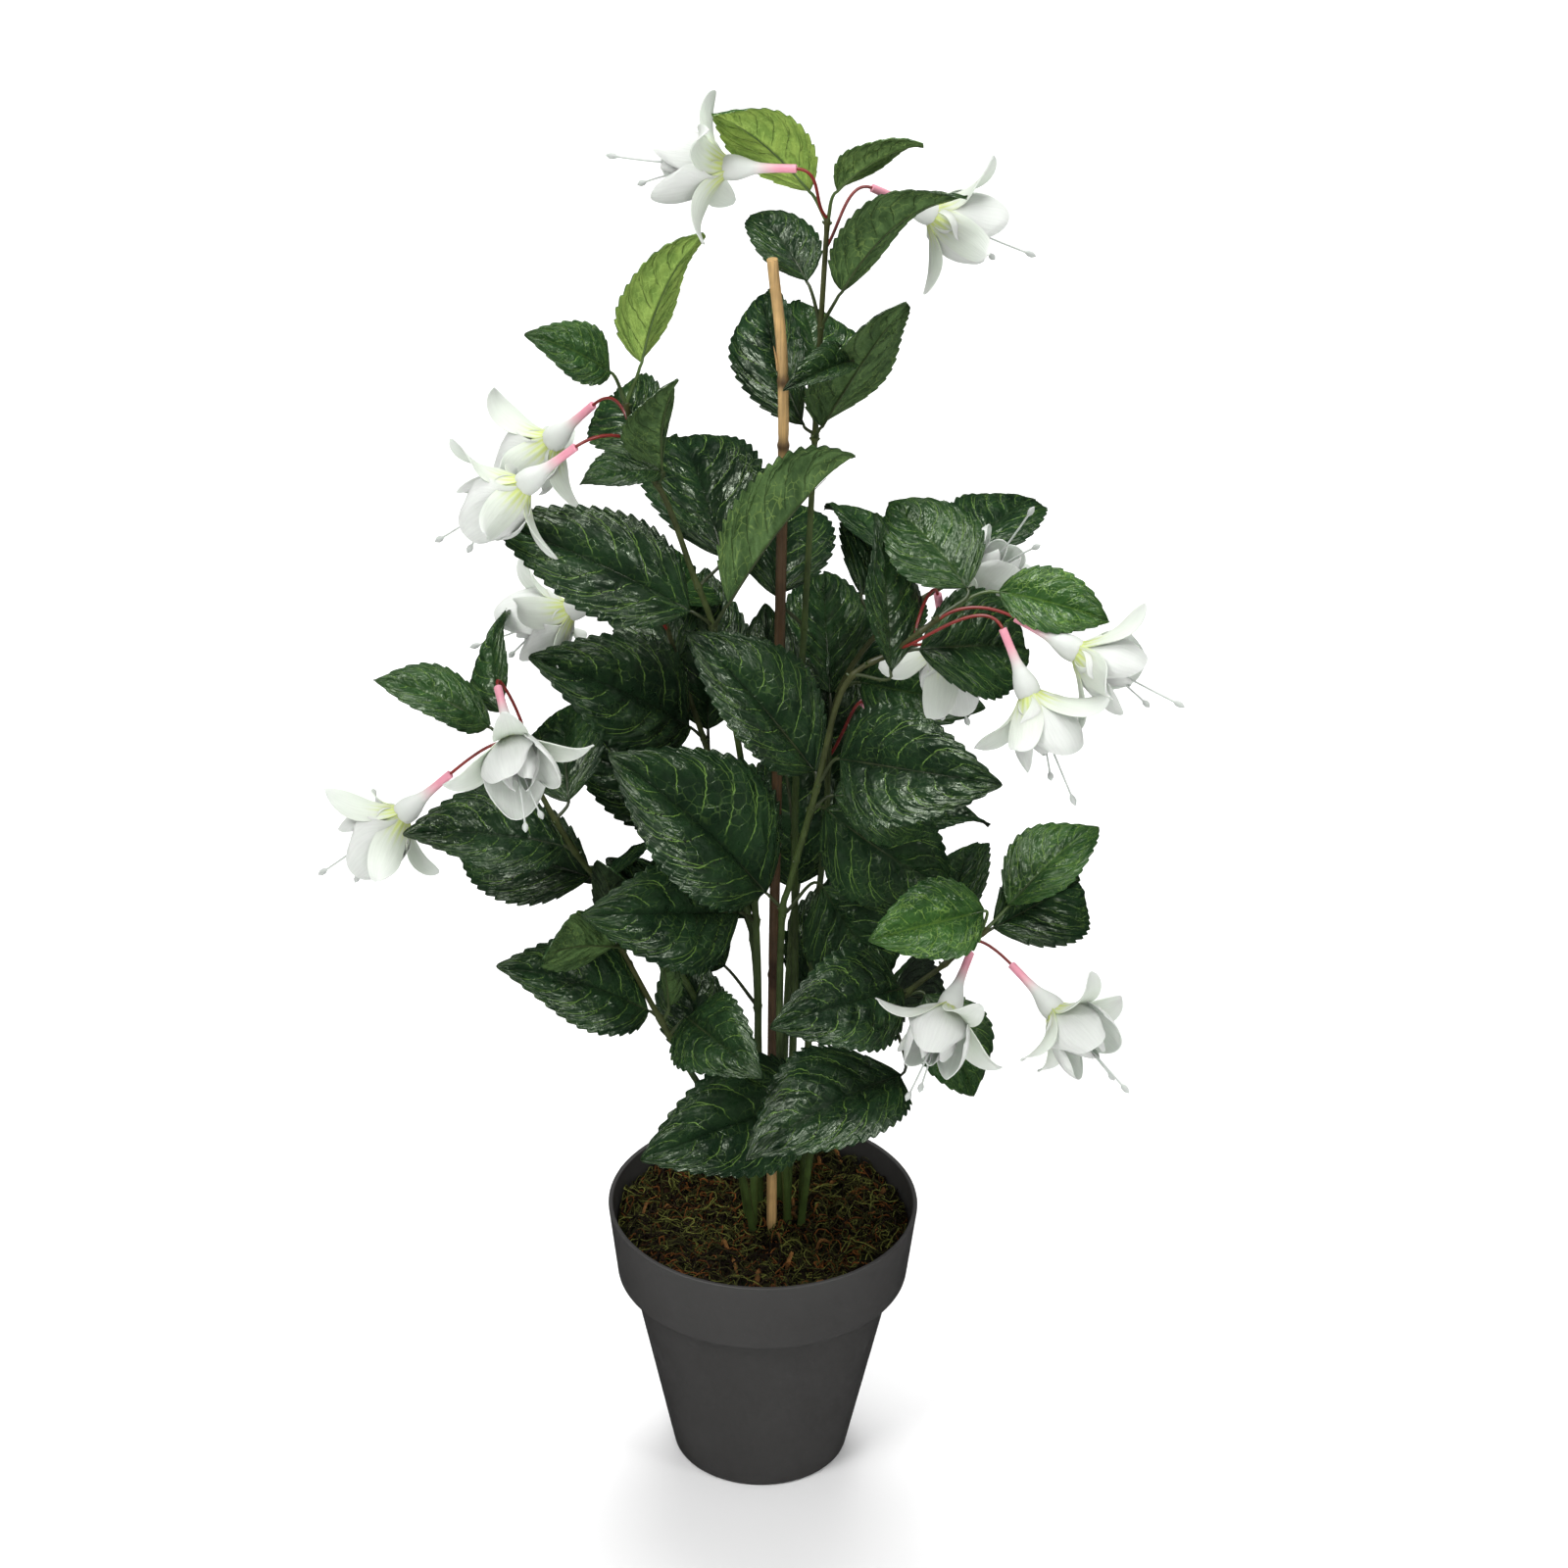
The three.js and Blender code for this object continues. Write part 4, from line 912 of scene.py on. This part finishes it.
class Paint:
    """A material under construction: short calls that add nodes and join them."""

    def __init__(self, name, **sockets):
        self.material = bpy.data.materials.new(name)
        self.material.use_nodes = True
        self.tree = self.material.node_tree
        self.surface = self.tree.nodes["Principled BSDF"]
        self.set(self.surface, sockets)

    def set(self, node, sockets):
        for name, value in sockets.items():
            socket = node.inputs[name if isinstance(name, int) else name.replace("_", " ")]
            if isinstance(value, bpy.types.NodeSocket):
                self.tree.links.new(value, socket)
            else:
                socket.default_value = value

    def node(self, kind, sockets=None, **settings):
        made = self.tree.nodes.new("ShaderNode" + kind)
        for name, value in settings.items():
            setattr(made, name, value)
        self.set(made, sockets or {})
        return made

    def math(self, operation, *values):
        return self.node("Math", dict(enumerate(values)), operation=operation).outputs[0]

    def times(self, a, b):
        return self.math("MULTIPLY", a, b)

    def plus(self, a, b):
        return self.math("ADD", a, b)

    def minus(self, a, b):
        return self.math("SUBTRACT", a, b)

    def vector(self, operation, a, b):
        sockets = {0: a, "Scale" if operation == "SCALE" else 1: b}
        return self.node("VectorMath", sockets, operation=operation).outputs[0]

    def parts(self, vector):
        return list(self.node("SeparateXYZ", {"Vector": vector}).outputs)

    def attribute(self, name, output="Vector"):
        return self.node("Attribute", attribute_name=name).outputs[output]

    def shaded_tint(self, shade):
        return self.vector("SCALE", self.attribute("tint", "Color"), shade)

    def place(self):
        return self.node("TexCoord").outputs["Object"]

    def grain(self, scale, detail=3, roughness=0.55):
        return self.noise(self.place(), scale, detail, roughness)

    def noise(self, vector, scale, detail=3, roughness=0.55):
        sockets = {"Vector": vector, "Scale": scale, "Detail": detail, "Roughness": roughness}
        return self.node("TexNoise", sockets).outputs["Fac"]

    def span(self, value, low, high, start=0.0, end=1.0):
        """value, moved smoothly from the range low..high to start..end."""
        sockets = {"Value": value, "From Min": low, "From Max": high, "To Min": start, "To Max": end}
        return self.node("MapRange", sockets, interpolation_type="SMOOTHSTEP").outputs["Result"]

    def mix(self, share, a, b):
        """The colour from a to b, each a socket or (red, green, blue)."""
        a, b = ((*colour, 1) if isinstance(colour, tuple) else colour for colour in (a, b))
        made = self.node("Mix", data_type="RGBA")
        self.set(made, {0: share, 6: a, 7: b})
        return made.outputs[2]

    def finish(self, colour, height, strength, distance, **sockets):
        """The material in that colour, with the height of its grain scaled by the next two."""
        bump = self.node("Bump", {"Height": height, "Strength": strength, "Distance": distance})
        self.set(self.surface, {"Base Color": colour, "Normal": bump.outputs["Normal"], **sockets})
        return self.material


# the greens of a leaf, each in the dark and in the light of its mottle
OLD_TOP = ((0.006, 0.017, 0.008), (0.015, 0.041, 0.014))
YOUNG_TOP = ((0.018, 0.06, 0.014), (0.05, 0.135, 0.026))
# an underside painted in shade: near black, standing in for the shade under a leaf
SHADED_UNDERSIDE = ((0.008, 0.014, 0.009), (0.016, 0.03, 0.014))
GREEN_UNDERSIDE = ((0.033, 0.07, 0.02), (0.082, 0.15, 0.046))
PALE_UNDERSIDE = ((0.16, 0.27, 0.05), (0.29, 0.42, 0.085))
# the lines on it, each on an old or dark leaf and on a young or pale one
TOP_VEINS = ((0.15, 0.27, 0.055), (0.22, 0.38, 0.07))
TOP_RIB = ((0.009, 0.022, 0.009), (0.14, 0.26, 0.045))
RED_RIB = (0.12, 0.03, 0.012)
UNDER_VEINS = ((0.004, 0.008, 0.004), (0.06, 0.11, 0.02))
UNDER_NET = ((0.025, 0.06, 0.02), (0.38, 0.54, 0.13))
VEIN_WANDER = 0.055
FORK_START, FORK_SPREAD = 0.52, 0.62  # where a side vein forks, and how fast its branches part
NET_CELLS = (22.0, 7.5, 1.0)
CRINKLES = (11.0, 2.8)  # how many there are along a blade and across half of it


def leaf_veins(paint):
    """The pattern of a leaf: (veins, fine net, midrib, crinkles), each from 0 to 1. A side vein
    leaves the midrib, runs forward and forks near the margin; the crinkles lie along the veins."""
    form = paint.attribute("form")
    wander = paint.node("TexNoise", {"Vector": form, "Scale": 3.5, "Detail": 2.0}).outputs["Color"]
    shift = paint.vector("SUBTRACT", wander, (0.5, 0.5, 0.5))
    bent = paint.vector("ADD", form, paint.vector("SCALE", shift, VEIN_WANDER))
    u, v, _ = paint.parts(bent)
    out = paint.math("ABSOLUTE", v)
    hook = paint.times(paint.math("POWER", out, 4.0), VEIN_HOOK)
    run = paint.minus(paint.minus(u, paint.times(out, VEIN_SWEEP)), hook)
    left = paint.times(paint.math("LESS_THAN", v, 0.0), 0.5)
    phase = paint.plus(paint.times(run, float(VEIN_PAIRS)), left)
    fork = paint.times(paint.math("MAXIMUM", paint.minus(out, FORK_START), 0.0), FORK_SPREAD)
    apart = paint.math("ABSOLUTE", paint.minus(paint.math("PINGPONG", phase, 0.5), fork))
    veins = paint.span(apart, 0.01, 0.036, 1.0, 0.0)
    veins = paint.times(veins, paint.span(out, 0.06, 0.2))
    veins = paint.times(veins, paint.span(out, 0.8, 0.92, 1.0, 0.0))
    veins = paint.times(veins, paint.span(paint.noise(form, 7.0), 0.33, 0.52, 0.15, 1.0))
    sockets = {"Vector": paint.vector("MULTIPLY", bent, NET_CELLS), "Scale": 1.0}
    cells = paint.node("TexVoronoi", sockets, feature="DISTANCE_TO_EDGE")
    net = paint.span(cells.outputs["Distance"], 0.015, 0.075, 1.0, 0.0)
    net = paint.times(net, paint.span(paint.noise(form, 5.0), 0.42, 0.62))
    rib = paint.span(out, 0.012, 0.045, 1.0, 0.0)
    along, across = paint.times(run, CRINKLES[0]), paint.times(v, CRINKLES[1])
    place = paint.node("CombineXYZ", {"X": along, "Y": across, "Z": paint.parts(form)[2]}).outputs[0]
    return veins, net, rib, paint.noise(place, 1.0, 2.5, 0.5)


def leaf_top_material():
    paint = Paint("leaf_top", Specular_IOR_Level=0.5, Specular_Tint=(0.88, 1, 0.78, 1))
    veins, net, rib, crinkles = leaf_veins(paint)
    young, _, red = paint.parts(paint.attribute("tint"))
    mottle = paint.span(paint.grain(45.0, 5, 0.65), 0.3, 0.7)
    green = paint.mix(young, paint.mix(mottle, *OLD_TOP), paint.mix(mottle, *YOUNG_TOP))
    meshed = paint.times(net, paint.span(young, 0.2, 0.9, 0.22, 0.75))
    lines = paint.math("MAXIMUM", paint.times(veins, 0.95), meshed)
    green = paint.mix(lines, green, paint.mix(young, *TOP_VEINS))
    ribs = paint.mix(red, paint.mix(young, *TOP_RIB), RED_RIB)
    green = paint.mix(paint.times(rib, 0.7), green, ribs)
    height = paint.plus(paint.times(paint.grain(700.0), 0.05), crinkles)
    height = paint.minus(height, paint.times(veins, 0.12))
    height = paint.minus(height, paint.times(net, 0.05))
    rough = paint.span(paint.grain(200.0, 4), 0.3, 0.7, 0.26, 0.38)
    return paint.finish(green, height, 0.75, 0.005, Roughness=rough)


def leaf_under_material():
    paint = Paint("leaf_under", Roughness=0.6, Specular_IOR_Level=0.15)
    veins, net, rib, crinkles = leaf_veins(paint)
    _, pale, _ = paint.parts(paint.attribute("tint"))
    cloth = paint.plus(paint.grain(70.0, 6, 0.7), crinkles)
    mottle = paint.span(cloth, 0.75, 1.25)
    # a low pale tone gives the underside painted in shade, a higher one the leaf's own paler greens
    dark, middle, light = (paint.mix(mottle, *greens) for greens in
                           (SHADED_UNDERSIDE, GREEN_UNDERSIDE, PALE_UNDERSIDE))
    green = paint.mix(paint.span(pale, 0.0, 0.5), dark, middle)
    green = paint.mix(paint.span(pale, 0.5, 1.0), green, light)
    green = paint.mix(paint.times(net, 0.5), green, paint.mix(pale, *UNDER_NET))
    deep = paint.mix(pale, *UNDER_VEINS)
    green = paint.mix(paint.times(veins, 0.6), green, deep)
    green = paint.mix(paint.times(rib, 0.6), green, deep)
    grain = paint.times(paint.grain(650.0, 4), 0.3)
    height = paint.plus(paint.plus(grain, paint.times(crinkles, 2.0)), paint.times(veins, 0.8))
    return paint.finish(green, height, 0.8, 0.0025)


def tinted_material(name, tone, scale, bump, **sockets):
    """The piece's own tint, mottled by noise, over a fine grain."""
    paint = Paint(name, **sockets)
    shade = paint.span(paint.grain(scale, 4), 0.25, 0.75, 1 - tone, 1.0)
    grain = paint.grain(scale * 9)
    return paint.finish(paint.shaded_tint(shade), grain, bump, 0.0006)


def petal_material():
    paint = Paint("petal_silk", Roughness=0.55, Specular_IOR_Level=0.3, Subsurface_Weight=0.3,
                  Subsurface_Radius=(0.8, 1.0, 0.8), Subsurface_Scale=0.003)
    streak = paint.noise(paint.vector("MULTIPLY", paint.attribute("form"), (0.05, 0.9, 1.0)), 1.6, 4)
    colour = paint.shaded_tint(paint.span(streak, 0.3, 0.7, 0.93, 1.0))
    cloth = paint.grain(1800.0, 2)
    height = paint.plus(streak, paint.times(cloth, 0.3))
    return paint.finish(colour, height, 0.25, 0.0008)


def wire_material():
    paint = Paint("red_wire", Roughness=0.42)
    red = paint.mix(paint.grain(160.0, 4), (0.1, 0.008, 0.008), (0.3, 0.03, 0.022))
    return paint.finish(red, paint.grain(900.0), 0.2, 0.0004)


def pot_material():
    paint = Paint("moulded_plastic", Roughness=0.5, Specular_IOR_Level=0.35)
    cloud = paint.grain(14.0, 4)
    speck = paint.grain(420.0)
    grey = paint.mix(cloud, (0.042, 0.0408, 0.0393), (0.054, 0.0526, 0.051))
    grey = paint.mix(paint.span(speck, 0.62, 0.8, 0.0, 0.35), grey, (0.075, 0.073, 0.071))
    rough = paint.span(paint.grain(36.0, 5), 0.3, 0.7, 0.46, 0.62)
    height = paint.plus(speck, paint.times(cloud, 2.0))
    return paint.finish(grey, height, 0.12, 0.0004, Roughness=rough)


def cane_material():
    paint = Paint("bamboo", Roughness=0.4, Specular_IOR_Level=0.4)
    grain = paint.noise(paint.vector("MULTIPLY", paint.place(), (1.0, 1.0, 0.02)), 1400.0, 4)
    blotch = paint.grain(55.0, 4)
    shade = paint.times(paint.span(grain, 0.3, 0.7, 0.72, 1.1), paint.span(blotch, 0.3, 0.7, 0.8, 1.1))
    return paint.finish(paint.shaded_tint(shade), grain, 0.3, 0.0005)


def filler_material():
    paint = Paint("setting_block", Roughness=0.9)
    grit = paint.grain(260.0, 6)
    grey = paint.mix(grit, (0.16, 0.15, 0.13), (0.32, 0.3, 0.27))
    return paint.finish(grey, grit, 0.5, 0.001)


def floor_material():
    paint = Paint("pale_floor", Roughness=0.9, Specular_IOR_Level=0.1)
    pale = paint.mix(paint.grain(1.5, 2), (0.9, 0.9, 0.9), (0.92, 0.92, 0.92))
    paint.set(paint.surface, {"Base Color": pale})
    return paint.material


# ---- stage ----

CAMERA_PLACE = (0.0081, -2.016, 1.525)
CAMERA_PITCH = 28.98  # degrees down
CAMERA_ROLL = 0.8
CAMERA_LENS = 104.47
FLOOR_REACH = 9000
FLOOR_CELLS = 12
WORLD_STRENGTH = 0.5
LIGHTS = {  # place, aim, size, watts, whether it lights matt surfaces, whether glossy ones show it
    "key": ((-1.1, -1.5, 2.5), (0, 0, 0.42), 0.9, 38, True, True),
    "fill": ((1.7, -1.3, 1.9), (0, 0, 0.4), 0.7, 12, True, True),
    "top": ((0.1, 0.6, 3.0), (0, 0.3, 0), 1.5, 40, True, False),
    "back": ((0, 2.2, 3.2), (0, 2.0, 0), 2.4, 75, True, False),
    "low": ((0.3, -2.3, 0.7), (0, 0, 0.15), 0.9, 9, True, False),
    "sheen_top": ((-0.4, 0.1, 2.6), (0, 0, 0.4), 0.5, 36, False, True),
    "sheen_left": ((-1.3, -0.7, 2.4), (0, 0, 0.4), 0.5, 40, False, True),
    "sheen_right": ((1.4, -0.6, 2.2), (0, 0, 0.4), 0.4, 25, False, True),
}


def make_camera():
    data = bpy.data.cameras.new("camera")
    data.lens, data.sensor_width = CAMERA_LENS, 36
    data.clip_start, data.clip_end = 0.05, 60
    camera = add_object("camera", data)
    tilt = Matrix.Rotation(radians(90 - CAMERA_PITCH), 4, "X")
    roll = Matrix.Rotation(radians(CAMERA_ROLL), 4, "Z")
    camera.matrix_world = Matrix.Translation(CAMERA_PLACE) @ tilt @ roll
    bpy.context.scene.camera = camera


def make_floor():
    across = np.linspace(-FLOOR_REACH, FLOOR_REACH, FLOOR_CELLS + 1)
    x, y = np.meshgrid(across, across, indexing="ij")
    points = np.stack([x, y, np.zeros_like(x)], axis=-1).reshape(-1, 3)
    mesh = bpy.data.meshes.new("floor")
    mesh.from_pydata(points * MM, [], grid_faces(FLOOR_CELLS + 1, FLOOR_CELLS + 1))
    mesh.materials.append(floor_material())
    floor = add_object("floor", mesh)
    floor.visible_glossy = False


def make_lights():
    for name, (place, aim, size, watts, lights, shows) in LIGHTS.items():
        data = bpy.data.lights.new(name, "AREA")
        data.shape, data.size, data.energy = "DISK", size, watts
        light = add_object(name, data)
        light.location = place
        light.rotation_euler = (Vector(aim) - Vector(place)).to_track_quat("-Z", "Y").to_euler()
        light.visible_diffuse = lights
        light.visible_glossy = shows


def make_world():
    world = bpy.data.worlds.new("studio")
    bpy.context.scene.world = world
    world.use_nodes = True
    background = world.node_tree.nodes["Background"]
    background.inputs["Color"].default_value = (1, 1, 1, 1)
    background.inputs["Strength"].default_value = WORLD_STRENGTH
    world.cycles_visibility.glossy = False
    bpy.context.scene.view_settings.view_transform = "Standard"


# ---- the scene ----

make_camera()
make_floor()
make_lights()
make_world()
stem_material = tinted_material("stem_plastic", 0.45, 90.0, 0.3, Roughness=0.45)
make_foliage([stem_material, leaf_top_material(), leaf_under_material()])
make_blooms(petal_material())
make_wires(wire_material())
make_pot(pot_material())
moss_material = tinted_material("moss_fibre", 0.6, 220.0, 0.6, Roughness=0.95, Specular_IOR_Level=0.1)
make_moss(moss_material)
make_fibres(moss_material)
make_cane(cane_material())
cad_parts["filler"].data.materials.clear()
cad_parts["filler"].data.materials.append(filler_material())
